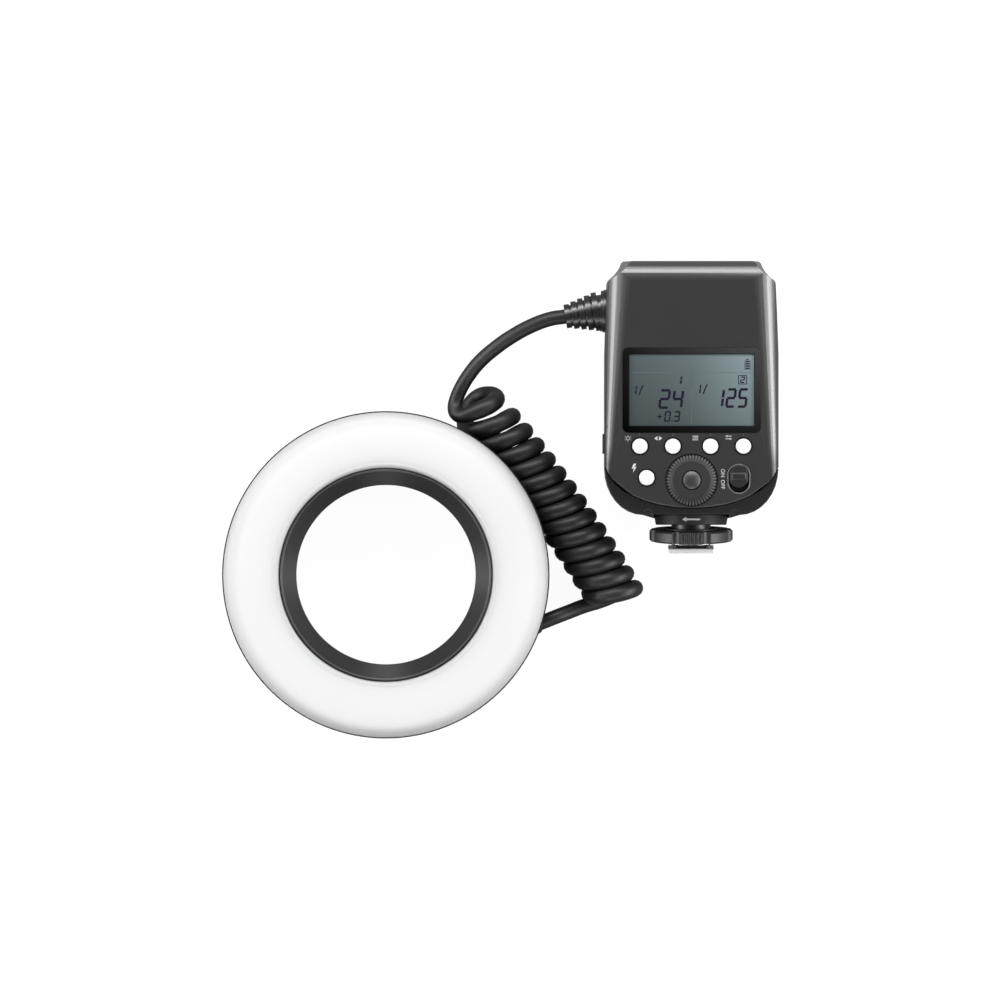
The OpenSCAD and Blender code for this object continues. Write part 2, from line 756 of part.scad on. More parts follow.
module diffuser() color(white) ring_at() {
  edge = arc(
    [diffuser_r - diffuser_edge, ring_h - diffuser_crown - diffuser_edge], diffuser_edge, diffuser_edge, 0, 90
  );
  crown_r = (diffuser_r + diffuser_in_r) / 2 + 2;
  inner_r = channel_in_r;
  skin = diffuser_t;
  shape = concat(
    [[diffuser_r, rim_z]], edge,
    [
      [crown_r, ring_h], [inner_r + skin, ring_h - diffuser_crown], [inner_r - skin / 2, ring_h - bezel_drop],
      [diffuser_in_r, ring_h - skin], [diffuser_in_r, rim_z - diffuser_skirt],
      [inner_r, rim_z - diffuser_skirt], [inner_r, ring_h - skin - bezel_drop], [crown_r, ring_h - skin],
      [diffuser_r - diffuser_edge, ring_h - skin - diffuser_crown],
      [diffuser_r - skin, ring_h - diffuser_crown - diffuser_edge], [diffuser_r - skin, rim_z]
    ]
  );
  rotate_extrude($fn = 96) polygon(shape);
}

module ring_screws() color(steel) ring_at()
  at_ring_screws()
    screw(ring_screw_r, ring_head_r, screw_head_t, screw_sink, tray_floor - screw_sink);

module ring_gland() color(cord_grey) ring_at() gland_frame() {
  translate([0, 0, gland_boss_l]) cylinder(r1 = gland_r, r2 = gland_tip_r, h = gland_l);
  disc(gland_plug_r, 0, gland_boss_l);
}

// The control unit

// The body's block, every face set in by a wall
module unit_solid(in) intersection() {
  linear_extrude(unit_d) polygon(whole(body_half(in)));
  translate([0, body_l + past, 0]) rotate([90, 0, 0]) linear_extrude(body_l + 2 * past)
    polygon(whole(section_half(in)));
  translate([-unit_w / 2 - past, 0, 0]) rotate([90, 0, 90]) linear_extrude(unit_w + 2 * past)
    polygon(profile(in));
}
// The space over the panel's outline with its round lower edge
module shield_block(in, z0, z1)
  translate([0, 0, z0]) linear_extrude(z1 - z0) polygon(whole(shield_half(in)));
// The space in the body
module unit_inside() intersection() {
  unit_solid(wall);
  shield_block(wall, 0, unit_d);
}
module at_bosses()
  for (side = [-1, 1], y = [boss_low_y, boss_high_y]) translate([side * boss_x, y, 0]) children();
// The opening in the right wall for the battery pack
module battery_way()
  translate([unit_w / 2, battery_y + battery_h / 2, 0])
    slab(4 * wall, battery_h + 2 * tray_gap, battery_z - tray_gap, battery_z + battery_t + tray_gap);
// A plate on the left wall, its thickness into the body
module port_block(size, x0, x1)
  translate([x0, port_y - size[0] / 2, port_z - size[1] / 2]) cube([x1 - x0, size[0], size[1]]);
module relief_frame() translate([-unit_w / 2 + relief_in, relief_y, relief_z]) rotate(-side_turn) children();

module front_cover() color(skirt_black) unit_at() difference() {
  union() {
    difference() {
      intersection() {
        unit_solid(0);
        translate([0, body_l / 2, 0]) slab(2 * unit_w, 2 * body_l, 0, seam_z);
      }
      unit_inside();
    }
    at_bosses() disc(body_boss_r, wall / 2, seam_z);
  }
  difference() {
    translate([0, skirt_tip_y / 2 - past, 0])
      slab(2 * unit_w, skirt_tip_y + 2 * past, skirt_z, seam_z + past);
    shield_block(0, 0, unit_d);
  }
  at_bosses() {
    disc(screw_r + fit_gap, -past, seam_z + past);
    disc(screw_head_r + fit_gap, -past, screw_sink + screw_head_t);
  }
  battery_way();
}

module rear_cover() color(panel_grey) unit_at() difference() {
  union() {
    difference() {
      intersection() {
        unit_solid(0);
        shield_block(0, seam_z, unit_d);
      }
      unit_inside();
    }
    at_bosses() disc(body_boss_r, seam_z, panel_in + fit_gap);
    for (side = [-1, 1], y = post_y) translate([side * post_x, y, 0])
      disc(post_r, key_board_top, panel_in + fit_gap);
    intersection() {
      translate([0, dial_y, 0]) disc(dial_boss_r, dial_floor - dial_floor_t, panel_in + fit_gap);
      shield_block(wall / 2, 0, unit_d);
    }
  }
  at_bosses() disc(screw_r + fit_gap, seam_z - past, seam_z + boss_bite);
  battery_way();
  translate([0, dial_y, 0]) {
    disc(dial_r + dial_gap, dial_floor, unit_d + past);
    disc(hub_r + dial_gap, dial_floor - dial_floor_t - past, unit_d);
  }
  for (spot = key_spots) translate(spot) {
    disc(key_r + key_gap, panel_in - past, unit_d + past);
    disc(key_r + key_flange + run_gap, key_board_top, panel_in);
  }
  translate([switch_x, switch_y, 0]) stadium(slot_w, slot_l, panel_in - past, unit_d + past);
  translate([0, display_y, 0]) {
    round_slab(
      display_w + 2 * fit_gap, display_h + 2 * fit_gap, display_r, unit_d - display_sink, unit_d + past
    );
    slab(glass_w + 2 * run_gap, glass_h + 2 * run_gap, panel_in - past, unit_d);
  }
  port_block(port_hole, -unit_w / 2 - past, -unit_w / 2 + wall + past);
  relief_frame() rotate([0, -90, 0]) disc(relief_plug_r + fit_gap, -wall - past, past);
}

module base_skirt() color(skirt_black) unit_at() difference() {
  intersection() {
    unit_solid(0);
    translate([0, (skirt_tip_y - skirt_gap) / 2 - past, 0])
      slab(2 * unit_w, skirt_tip_y - skirt_gap + 2 * past, skirt_z, skirt_top_z);
  }
  shield_block(-skirt_gap, 0, unit_d);
  at_skirt_screws() {
    disc(skirt_head_r + fit_gap, -skirt_head_t - skirt_sink, past);
    disc(skirt_screw_r + fit_gap, -skirt_screw_l - skirt_sink, past);
  }
  translate([0, 0, foot_z]) rotate([90 + foot_tilt, 0, 0])
    disc(spindle_r + fit_gap, -spindle_root - fit_gap, past);
  translate([0, foot_pocket / 2 - past, 0]) slab(
    2 * (collar_r + run_gap), foot_pocket + 2 * past, foot_z - collar_r - run_gap, skirt_top_z + past
  );
}
module at_skirt_screws()
  for (side = [-1, 1]) translate([side * skirt_screw_x, skirt_screw_y, skirt_top_z]) children();

module skirt_screws() color(skirt_black) unit_at() at_skirt_screws()
  mirror([0, 0, 1]) screw(skirt_screw_r, skirt_head_r, skirt_head_t, skirt_sink, skirt_screw_l);

module body_screws() color(steel) unit_at()
  at_bosses() screw(screw_r, screw_head_r, screw_head_t, screw_sink, seam_z + boss_bite - screw_sink);

module display_bezel() color(skirt_black) unit_at() translate([0, display_y, 0]) difference() {
  round_slab(display_w, display_h, display_r, unit_d - display_sink, unit_d + display_proud);
  slab(
    display_w - 2 * display_border, display_h - 2 * display_border, unit_d - 2 * display_sink, unit_d + past
  );
}

module display_module() color(display_grey) unit_at() translate([0, display_y, 0]) {
  edge = 2 * module_edge + 2 * run_gap;
  slab(glass_w + edge, glass_h + edge, panel_in - module_back_t, panel_in);
  slab(glass_w, glass_h, panel_in - fit_gap, unit_d - glass_sink);
}

module key_board() color(board_green) unit_at() {
  half = [[board_low_x, board_low_y], [board_x, board_mid_y], [board_x, board_top_y]];
  translate([0, 0, key_board_z]) linear_extrude(board_t) polygon(whole(half));
}

module key_switches() color(steel) unit_at()
  for (spot = concat(key_spots, [[0, dial_y, 0]])) translate(spot) {
    slab(switch_box, switch_box, key_board_top, key_board_top + switch_t);
    disc(plunger_r, key_board_top + switch_t, plunger_top);
  }

// A round key with a flange under the panel and a slightly domed top
module key(spot) color(white) unit_at() translate(spot) {
  top = unit_d + key_proud;
  disc(key_r, key_flange_z, top - dome_h);
  translate([0, 0, top - dome_h]) cylinder(r1 = key_r, r2 = key_r - 2 * dome_h, h = dome_h);
  disc(key_r + key_flange, key_flange_z, key_flange_z + key_flange_t);
}

module lamp_key() key(key_spots[0]);

module select_key() key(key_spots[1]);

module function_key() key(key_spots[2]);

module ratio_key() key(key_spots[3]);

module test_key() key(key_spots[4]);

module control_dial() color(panel_grey) unit_at() translate([0, dial_y, 0]) difference() {
  union() {
    disc(dial_r, dial_z, dial_top);
    disc(hub_r, hub_z, dial_z);
  }
  disc(hub_in_r, hub_z - past, dial_top + past);
  disc(dial_flat_r, dial_top - dial_dish, dial_top + past);
  for (k = [0:dial_ridges - 1]) rotate(360 * k / dial_ridges) translate([dial_r, 0, 0])
    slab(2 * (dial_r - dial_flat_r) - past, ridge_w, dial_top - ridge_deep, dial_top + past);
}

module dial_encoder() color(steel) unit_at() translate([0, dial_y, 0])
  washer(hub_in_r, encoder_r, key_board_top, key_board_top + encoder_t);

module set_key() color(skirt_black) unit_at() translate([0, dial_y, 0]) {
  low = plunger_top + key_travel + 0.1;
  disc(set_d / 2, low, dial_top - dome_h);
  translate([0, 0, dial_top - dome_h]) cylinder(r1 = set_d / 2, r2 = set_d / 2 - 2 * dome_h, h = dome_h);
}

module power_switch() color(panel_grey) unit_at() translate([switch_x, knob_y, 0]) {
  plate_z = panel_in - run_gap - key_flange_t;
  top = unit_d + knob_proud;
  stadium(knob_w, knob_l, plate_z, top);
  stadium(knob_w + 2 * knob_plate, knob_l + 2 * knob_plate, plate_z, plate_z + key_flange_t);
  slab(knob_ridge[0], knob_ridge[1], top, top + knob_ridge[2]);
}

module switch_body() color(skirt_black) unit_at() translate([switch_x, switch_y, 0])
  slab(knob_w, knob_l + 2 * run_gap, key_board_top, panel_in - 2 * run_gap - key_flange_t);

module main_board() color(board_green) unit_at()
  translate([-main_board_size[0] / 2, main_board_y, tray_top]) cube(main_board_size);

module battery_block(gap, x0, x1)
  translate([x0, battery_y - gap, battery_z - gap]) cube([x1 - x0, battery_h + 2 * gap, battery_t + 2 * gap]);
module at_catch()
  translate([battery_end - catch_size[0], battery_y + catch_y, battery_z + (battery_t - catch_size[2]) / 2])
    children();

module battery_pack() color(skirt_black) unit_at() difference() {
  battery_block(0, battery_x, battery_end);
  at_catch() translate([-run_gap, -run_gap, -run_gap])
    cube([catch_size[0] + past, catch_size[1] + catch_travel + 2 * run_gap, catch_size[2] + 2 * run_gap]);
}

module battery_catch() color(panel_grey) unit_at() at_catch() difference() {
  cube(catch_size);
  step = catch_size[1] / (catch_grooves + 1);
  for (k = [1:catch_grooves]) translate([catch_size[0] - catch_groove, k * step - catch_groove / 2, -past])
    cube([past, catch_groove, catch_size[2] + 2 * past]);
}

module battery_tray() color(panel_grey) unit_at() {
  difference() {
    battery_block(tray_gap + tray_t, tray_x, tray_end);
    battery_block(tray_gap, tray_x + tray_t, tray_end + past);
  }
  skid_h = battery_z - tray_gap - tray_t - wall;
  for (y = [battery_y + skid_w, battery_y + battery_h - 2 * skid_w])
    translate([tray_x, y, wall]) cube([tray_end - tray_x - front_r, skid_w, skid_h + fit_gap]);
}

module battery_contacts() color(gilt) unit_at()
  for (k = [1:3]) {
    y = battery_y + k * battery_h / 4 - contact_blade[1] / 2;
    translate([tray_x + tray_t, y, battery_z + contact_blade[2]]) cube(contact_blade);
  }

module main_capacitor() color(skirt_black) unit_at()
  translate([-capacitor_l / 2, capacitor_y, wall + capacitor_r]) rotate([0, 90, 0])
    cylinder(r = capacitor_r, h = capacitor_l);

module transformer() color(steel) unit_at()
  translate([tray_x - transformer_gap - transformer_size[0], transformer_y, wall]) cube(transformer_size);

module port_socket() color(skirt_black) unit_at() {
  back = -unit_w / 2 + wall;
  difference() {
    port_block(socket_size, back, back + socket_l);
    translate([back - past, port_y, port_z]) rotate([0, 90, 0]) cylinder(r = socket_bore_r, h = socket_l);
  }
}

module port_cover() color(skirt_black) unit_at() {
  port_block(port_size, -unit_w / 2 - port_t, -unit_w / 2);
  port_block(port_hole - [1, 1] * 2 * run_gap, -unit_w / 2, -unit_w / 2 + port_plug);
  translate([-unit_w / 2 - port_t / 2, port_y - port_size[0] / 2, port_z - port_size[1] / 2])
    rotate([-90, 0, 0]) cylinder(r = port_t / 2, h = port_size[0]);
}

module relief_lean() translate([-2 * relief_flange_t, 0, 0])
  rotate([0, 0, relief_tilt]) rotate([0, -90, 0]) children();

module strain_relief() color(cord_grey) unit_at() relief_frame() {
  rotate([0, -90, 0]) {
    disc(relief_plug_r, -wall, relief_flange_t);
    disc(relief_r, 0, relief_flange_t);
    disc(relief_collar_r, relief_flange_t, 2 * relief_flange_t);
  }
  intersection() {
    relief_lean() disc(relief_root_r - relief_groove, -2 * relief_flange_t, relief_flange_t);
    rotate([0, -90, 0]) disc(relief_r, relief_flange_t / 2, 4 * relief_flange_t);
  }
  relief_lean() {
    cylinder(r1 = relief_root_r - relief_groove, r2 = relief_tip_r - relief_tip_groove, h = relief_l);
    for (k = [0:relief_rings - 1]) {
      r = relief_root_r + (relief_tip_r - relief_root_r) * k / (relief_rings - 1);
      z = k * relief_step + relief_step - relief_ring_t;
      disc(r, z, z + relief_ring_t);
      rotate(90 * (k % 2)) slab(2 * r - relief_flange_t, relief_web, z - relief_step + relief_ring_t, z);
    }
  }
}

// The foot

module foot_collar() color(panel_grey) difference() {
  unit_at() translate([0, foot_pocket, foot_z]) rotate([90, 0, 0])
    cylinder(r1 = collar_r, r2 = collar_end_r, h = foot_pocket + collar_h);
  foot_at() disc(spindle_r + fit_gap, -foot_pocket - tilt_reach, collar_h + tilt_reach);
}

module foot_spindle() color(skirt_black) foot_at() disc(spindle_r, -spindle_root, spindle_end);

module lock_wheel() color(panel_grey) foot_at() difference() {
  union() {
    disc(wheel_hub_r, wheel_hub_z, wheel_z);
    disc(wheel_r, wheel_z + wheel_edge, wheel_end - wheel_edge);
    translate([0, 0, wheel_z]) cylinder(r1 = wheel_r - wheel_edge, r2 = wheel_r, h = wheel_edge);
    translate([0, 0, wheel_end - wheel_edge])
      cylinder(r1 = wheel_r, r2 = wheel_r - wheel_edge, h = wheel_edge);
  }
  disc(spindle_r + 2 * fit_gap, wheel_hub_z - past, wheel_end + past);
  for (k = [0:wheel_pads - 1]) rotate(360 * k / wheel_pads + 90) {
    for (side = [-1, 1]) rotate(side * pad_groove_angle) translate([wheel_r + pad_groove_r / 2, 0, 0])
      disc(pad_groove_r, wheel_z - past, wheel_end + past);
    for (i = [0:pad_ribs - 1]) rotate((i - (pad_ribs - 1) / 2) * pad_rib_step) translate([wheel_r, 0, 0])
      disc(rib_groove_r, wheel_z - past, wheel_end + past);
  }
}

module clamp_plate() color(steel) foot_at() washer(spindle_r + run_gap, clamp_r, clamp_z, clamp_z + clamp_t);

module foot_block() color(skirt_black) foot_at() difference() {
  union() {
    slab(shoe_neck, neck_depth, spindle_end, shoe_z);
    slab(insert[0], insert[1], shoe_z, shoe_z + shoe_t - fit_gap);
  }
  for (spot = contact_spots) translate(spot)
    disc(contact_r + fit_gap, contact_z - contact_travel - fit_gap, shoe_z + shoe_t + past);
  translate([0, pin_y, 0]) disc(pin_r + fit_gap, pin_z - fit_gap, shoe_z + shoe_t + past);
}

module foot_plate() color(steel) foot_at() difference() {
  slab(shoe_w, shoe_l, shoe_z, shoe_z + shoe_t);
  slab(insert[0] + 2 * fit_gap, insert[1] + 2 * fit_gap, shoe_z - past, shoe_z + shoe_t + past);
}

module lock_pin() color(steel) foot_at() translate([0, pin_y, 0])
  disc(pin_r, pin_z, pin_z + pin_l);

module contact_pins() color(gilt) foot_at() for (spot = contact_spots) translate(spot)
  disc(contact_r, contact_z, contact_z + contact_l);

// The cord

module cord_lead() color(cord_grey)
  tube(lead_path, cord_d / 2, cord_sides, relief_dir, curl_dir(first_turn), [0, 0, 1]);

module cord_coil() color(cord_grey)
  tube(coil_path, cord_d / 2, curl_sides, curl_dir(first_turn), curl_dir(last_turn), axis_dir(axis_l / 2));

module cord_tail() color(cord_grey)
  tube(tail_path, cord_d / 2, cord_sides, curl_dir(last_turn), gland_dir, [0, 0, 1]);

ring_housing();
lens_mount_ring();
mount_screws();
release_slider_right();
release_slider_left();
inner_bezel();
lamp_board();
reflector_tray();
flash_tube_left();
flash_tube_right();
tube_holders();
modelling_lamps();
diffuser();
ring_screws();
ring_gland();
front_cover();
rear_cover();
base_skirt();
skirt_screws();
body_screws();
display_bezel();
display_module();
key_board();
key_switches();
lamp_key();
select_key();
function_key();
ratio_key();
test_key();
control_dial();
dial_encoder();
set_key();
power_switch();
switch_body();
main_board();
battery_pack();
battery_catch();
battery_tray();
battery_contacts();
main_capacitor();
transformer();
port_socket();
port_cover();
strain_relief();
foot_collar();
foot_spindle();
lock_wheel();
clamp_plate();
foot_block();
foot_plate();
lock_pin();
contact_pins();
cord_lead();
cord_coil();
cord_tail();
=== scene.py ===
import math

import bmesh
import bpy
from mathutils import Matrix, Vector


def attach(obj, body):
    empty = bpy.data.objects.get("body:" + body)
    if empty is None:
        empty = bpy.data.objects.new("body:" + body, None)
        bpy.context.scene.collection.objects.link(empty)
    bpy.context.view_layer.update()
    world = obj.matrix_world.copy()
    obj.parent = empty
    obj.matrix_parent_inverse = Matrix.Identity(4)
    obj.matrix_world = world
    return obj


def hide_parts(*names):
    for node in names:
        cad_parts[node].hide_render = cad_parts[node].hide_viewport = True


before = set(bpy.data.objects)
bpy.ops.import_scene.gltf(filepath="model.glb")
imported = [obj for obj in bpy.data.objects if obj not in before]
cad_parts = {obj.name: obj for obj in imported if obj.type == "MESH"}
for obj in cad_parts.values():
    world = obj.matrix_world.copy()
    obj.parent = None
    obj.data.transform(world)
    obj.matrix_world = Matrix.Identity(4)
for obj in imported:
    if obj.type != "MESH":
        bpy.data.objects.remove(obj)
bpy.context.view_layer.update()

bl_info = {
    "name": "Macro Ring Flash",
    "version": (1, 0, 0),
    "blender": (4, 5, 0),
    "location": "3D View > Sidebar > Ring Flash",
    "description": "Finishes a macro ring flash over its packed solids",
    "category": "Object",
}

MM = 0.001
RING = Vector((-46.55, -30.5, 0)) * MM
RING_R = 66.75 * MM
UNIT = Vector((77.9, -7.45, 0)) * MM
PANEL = 52 * MM
DIAL = UNIT + Vector((0, 15.5 * MM, 0))

# From here on in millimetres, places from the unit's middle.
UNIT_HALF = 35.4
LOW_EDGE = 51.2
LOW_EDGE_DEPTH = 0.8
LOW_EDGE_CUTS = (LOW_EDGE, 51.5, 51.75, 51.92)
LOW_EDGE_LIMIT = 24
FIGURES = (51.5, 51.53)
SIGN_TOP = PANEL / MM + 0.02
SIGNS = (SIGN_TOP - 0.04, SIGN_TOP)
SIGN_Y = 32.5
DIAL_FLAT_R = 7.5
DIAL_SLOPE = 3
DIAL_TOP = 52.9
DIAL_FALL = 1.7
KEY_LOW = 48.7
KEY_TOP = 52.8
COIL_R = 8.6
CORD_R = 3.1
BOLT = (
    (-23.6, 22.2), (-24.4, 20.1), (-23.5, 20.3), (-23.9, 18.5), (-22.4, 20.9), (-23.2, 20.8), (-22.5, 22.2),
)
KEYS = {
    "lamp_key": (-21.05, 29.3),
    "select_key": (-7.65, 29.3),
    "function_key": (7.65, 29.3),
    "ratio_key": (21.05, 29.3),
    "test_key": (-18.3, 16.5),
}


class FlashSizes(bpy.types.PropertyGroup):
    """Sizes of the looks"""

    cord_diameter: bpy.props.FloatProperty(
        name="Cord diameter", description="Thickness of the curly cord", default=6.2 * MM, unit="LENGTH"
    )
    edge: bpy.props.FloatProperty(
        name="Moulded edge", description="Rounding of the moulded pieces' edges", default=0.35 * MM, unit="LENGTH"
    )
    grain: bpy.props.FloatProperty(
        name="Grain", description="Size of the grain in the moulded plastic", default=0.45 * MM, unit="LENGTH"
    )
    camera_height: bpy.props.FloatProperty(
        name="Camera height", description="Height of the camera over the table", default=8.0, unit="LENGTH"
    )
    picture_width: bpy.props.FloatProperty(
        name="Picture width", description="Width that the picture takes in", default=0.407, unit="LENGTH"
    )


class FlashColours(bpy.types.PropertyGroup):
    """Colours of the finishes"""

    panel: bpy.props.FloatVectorProperty(
        name="Panel",
        description="Grey of the control unit's cover",
        default=(0.0075, 0.0075, 0.0075),
        subtype="COLOR",
    )
    skirt: bpy.props.FloatVectorProperty(
        name="Skirt",
        description="Black of the base and the housings",
        default=(0.009, 0.009, 0.009),
        subtype="COLOR",
    )
    diffuser: bpy.props.FloatVectorProperty(
        name="Diffuser", description="White of the lamp's front", default=(0.425, 0.425, 0.425), subtype="COLOR"
    )
    cord: bpy.props.FloatVectorProperty(
        name="Cord", description="Dark grey of the cord", default=(0.006, 0.006, 0.006), subtype="COLOR"
    )
    display: bpy.props.FloatVectorProperty(
        name="Display", description="Grey-green of the display", default=(0.0345, 0.0445, 0.046), subtype="COLOR"
    )
    key: bpy.props.FloatVectorProperty(
        name="Keys", description="White of the keys", default=(0.46, 0.46, 0.46), subtype="COLOR"
    )


class Field:
    """A value over a surface that takes part in Python sums."""

    def __init__(self, finish, socket):
        self.finish = finish
        self.socket = socket

    def _sum(self, operation, a, b):
        return self.finish.node("ShaderNodeMath", {"operation": operation}, {0: a, 1: b})

    def __add__(self, other):
        return self._sum("ADD", self, other)

    __radd__ = __add__

    def __sub__(self, other):
        return self._sum("SUBTRACT", self, other)

    def __rsub__(self, other):
        return self._sum("SUBTRACT", other, self)

    def __mul__(self, other):
        return self._sum("MULTIPLY", self, other)

    __rmul__ = __mul__

    def __truediv__(self, other):
        return self._sum("DIVIDE", self, other)

    def __rtruediv__(self, other):
        return self._sum("DIVIDE", other, self)

    def __pow__(self, other):
        return self._sum("POWER", self, other)


class Finish:
    """A material made from nodes, with its main shader at hand."""

    def __init__(self, name):
        self.material = bpy.data.materials.new(name)
        self.material.use_nodes = True
        self.tree = self.material.node_tree
        self.shader = self.tree.nodes["Principled BSDF"]
        self.place = self.node("ShaderNodeTexCoord", {}, {}, "Object")

    def node(self, kind, settings, sockets, out=0):
        """Adds a node, sets it and its sockets, and returns one of its outputs."""
        node = self.tree.nodes.new(kind)
        for key, value in settings.items():
            if key == "stops":
                ramp = node.color_ramp.elements
                while len(ramp) < len(value):
                    ramp.new(1)
                for stop, (at, colour) in zip(ramp, value):
                    stop.position = at
                    stop.color = (*colour, 1)
            else:
                setattr(node, key, value)
        for key, value in sockets.items():
            self.plug(node.inputs[key], value)
        return Field(self, node.outputs[out])

    def plug(self, socket, value):
        """Links a field to a socket, or sets a plain value on it."""
        if isinstance(value, Field):
            self.tree.links.new(value.socket, socket)
        elif isinstance(value, tuple) and len(value) == 3 and socket.type == "RGBA":
            socket.default_value = (*value, 1)
        else:
            socket.default_value = value

    def set(self, **values):
        """Sets the main shader's sockets by their names in small letters."""
        for key, value in values.items():
            self.plug(self.shader.inputs[key.replace("_", " ").title().replace("Ior", "IOR")], value)

    def axis(self, name):
        """One coordinate of the surface."""
        return self.node("ShaderNodeSeparateXYZ", {}, {0: self.place}, name)

    def clamp(self, value):
        """A value kept between 0 and 1."""
        return self.node("ShaderNodeClamp", {}, {0: value})

    def around(self, middle):
        """The surface's x and y from a middle and its distance from it."""
        x = self.axis("X") - middle.x
        y = self.axis("Y") - middle.y
        return x, y, (x * x + y * y) ** 0.5

    def across(self, left, width, bottom, height):
        """The surface's shares of a width and a height on the panel, in the unit's millimetres."""
        share = (self.axis("X") - (UNIT.x + left * MM)) / (width * MM)
        rise = (self.axis("Y") - (UNIT.y + bottom * MM)) / (height * MM)
        return share, rise

    def moulding(self):
        """The fine grain and the wide cloud of moulded plastic."""
        size = bpy.context.scene.flash_sizes.grain
        return self.noise(size, 3), self.noise(60 * size, 2)

    def noise(self, size, detail, stretch=None):
        """Noise from 0 to 1 whose features have about that size."""
        place = self.place
        if stretch:
            place = self.node("ShaderNodeMapping", {}, {"Vector": place, "Scale": stretch})
        return self.node("ShaderNodeTexNoise", {}, {"Vector": place, "Scale": 1 / size, "Detail": detail})

    def ramp(self, value, stops):
        """A ramp of colours over a value."""
        return self.node("ShaderNodeValToRGB", {"stops": stops}, {0: value})

    def mix(self, share, a, b):
        """A colour between two colours."""
        return self.node("ShaderNodeMix", {"data_type": "RGBA"}, {0: share, 6: a, 7: b}, 2)

    def bump(self, height, depth):
        """A surface raised by a field."""
        normal = self.node("ShaderNodeBump", {}, {"Distance": depth, "Height": height}, "Normal")
        self.plug(self.shader.inputs["Normal"], normal)
        return self


def scaled(colour, factor):
    """A colour made lighter or darker."""
    return tuple(min(1.0, c * factor) for c in colour)


def moulded(name, colour, roughness, depth, spread=0.18, ior=1.45):
    """Moulded plastic with a fine grain."""
    finish = Finish(name)
    grain, cloud = finish.moulding()
    tone = grain * 0.55 + cloud * 0.45
    finish.set(
        base_color=finish.mix(tone, scaled(colour, 1 - spread), scaled(colour, 1 + spread)),
        roughness=grain * 0.16 + cloud * 0.06 + (roughness - 0.11),
        ior=ior,
    )
    return finish.bump(grain, depth * MM).material


def edged(name, colour):
    """The panel's plastic, dull on its flat top, shinier on its edges, less so at its lower corners, and darker on
    its edges as painted shade, while the flat top's lighter grey stands in for a reflection.
    """
    finish = Finish(name)
    grain, cloud = finish.moulding()
    x = finish.axis("X") - UNIT.x
    rise = finish.clamp((finish.axis("Y") - (UNIT.y + 22 * MM)) / (8 * MM))
    corner = finish.clamp(((x * x) ** 0.5 - 29 * MM) / (3 * MM)) * (1 - rise)
    edge = finish.clamp((PANEL - 0.01 * MM - finish.axis("Z")) / (0.2 * MM))
    flat = finish.mix(grain * 0.55 + cloud * 0.45, scaled(colour, 0.85), scaled(colour, 1.15))
    finish.set(
        # Painted shade: the base colour is darker on the rounded edges, and lighter on the flat top in place of a
        # reflection.
        base_color=finish.mix(edge, flat, scaled(colour, 0.58)),
        roughness=grain * 0.16 + cloud * 0.06 + 0.53 - 0.28 * edge,
        ior=1.35,
        coat_weight=edge * (1 - 0.65 * corner),
        coat_roughness=0.39,
        coat_ior=1.85,
    )
    return finish.bump(grain, 0.012 * MM).material


def capped(name, colour):
    """A key's plastic, with painted shade that makes it dark down in its hole."""
    finish = Finish(name)
    grain = finish.noise(bpy.context.scene.flash_sizes.grain, 3)
    # Painted shade: the key's white turns near black below the panel, down in its hole.
    rise = finish.clamp((finish.axis("Z") - 51.8 * MM) / (0.3 * MM))
    finish.set(
        base_color=finish.mix(rise, (0.01, 0.01, 0.01), finish.mix(grain, scaled(colour, 0.97), colour)),
        roughness=grain * 0.1 + 0.38,
    )
    return finish.bump(grain, 0.003 * MM).material


def metal(name, colour, roughness, metallic=1.0):
    """Rolled metal with faint lines."""
    finish = Finish(name)
    lines = finish.noise(0.25 * MM, 3, (0.08, 1, 1))
    cloud = finish.noise(6 * MM, 2)
    finish.set(
        base_color=finish.mix(lines * 0.5 + cloud * 0.5, scaled(colour, 0.9), scaled(colour, 1.08)),
        roughness=lines * 0.14 + (roughness - 0.05),
        metallic=metallic,
    )
    return finish.bump(lines, 0.004 * MM).material


def rubber(name, colour, roughness, ior):
    """Soft dark rubber, slightly shiny."""
    finish = Finish(name)
    grain = finish.noise(0.35 * MM, 2)
    cloud = finish.noise(14 * MM, 2)
    finish.set(
        base_color=finish.mix(cloud * 0.6 + grain * 0.4, scaled(colour, 0.8), scaled(colour, 1.25)),
        roughness=grain * 0.14 + cloud * 0.08 + (roughness - 0.11),
        ior=ior,
    )
    return finish.bump(grain, 0.008 * MM).material


def ridged(name, colour):
    """The dial's plastic, lighter towards the rim as a painted highlight and darker in the grooves as painted
    shade.
    """
    finish = Finish(name)
    grain = finish.noise(bpy.context.scene.flash_sizes.grain, 2)
    radius = finish.around(DIAL)[2]
    outwards = finish.clamp((radius - DIAL_FLAT_R * MM) / (DIAL_SLOPE * MM))
    ridge = DIAL_TOP * MM - DIAL_FALL * MM * outwards
    groove = finish.clamp((ridge - finish.axis("Z")) / (0.25 * MM))
    # Painted highlight on the ridges towards the rim, and painted shade in the grooves.
    finish.set(
        base_color=finish.mix(
            outwards * (1 - groove) * 0.9 + grain * 0.1, scaled(colour, 0.1), scaled(colour, 2.4)
        ),
        roughness=grain * 0.1 + 0.58 - 0.12 * outwards,
        ior=1.4,
    )
    return finish.bump(grain, 0.008 * MM).material


def glossed(name, dark, light):
    """The display frame's gloss, with a painted reflection that makes it lighter to the right and the top."""
    finish = Finish(name)
    share, rise = finish.across(-27.5, 55, 34.5, 36.5)
    cloud = finish.noise(9 * MM, 2)
    # Painted reflection: the black turns lighter to the right and the top.
    tone = share * (rise * 0.8 + 0.2) * 0.75 + rise * (cloud * 0.1 + 0.08)
    finish.set(base_color=finish.mix(tone, dark, light), roughness=cloud * 0.1 + 0.25, ior=1.12)
    return finish.material


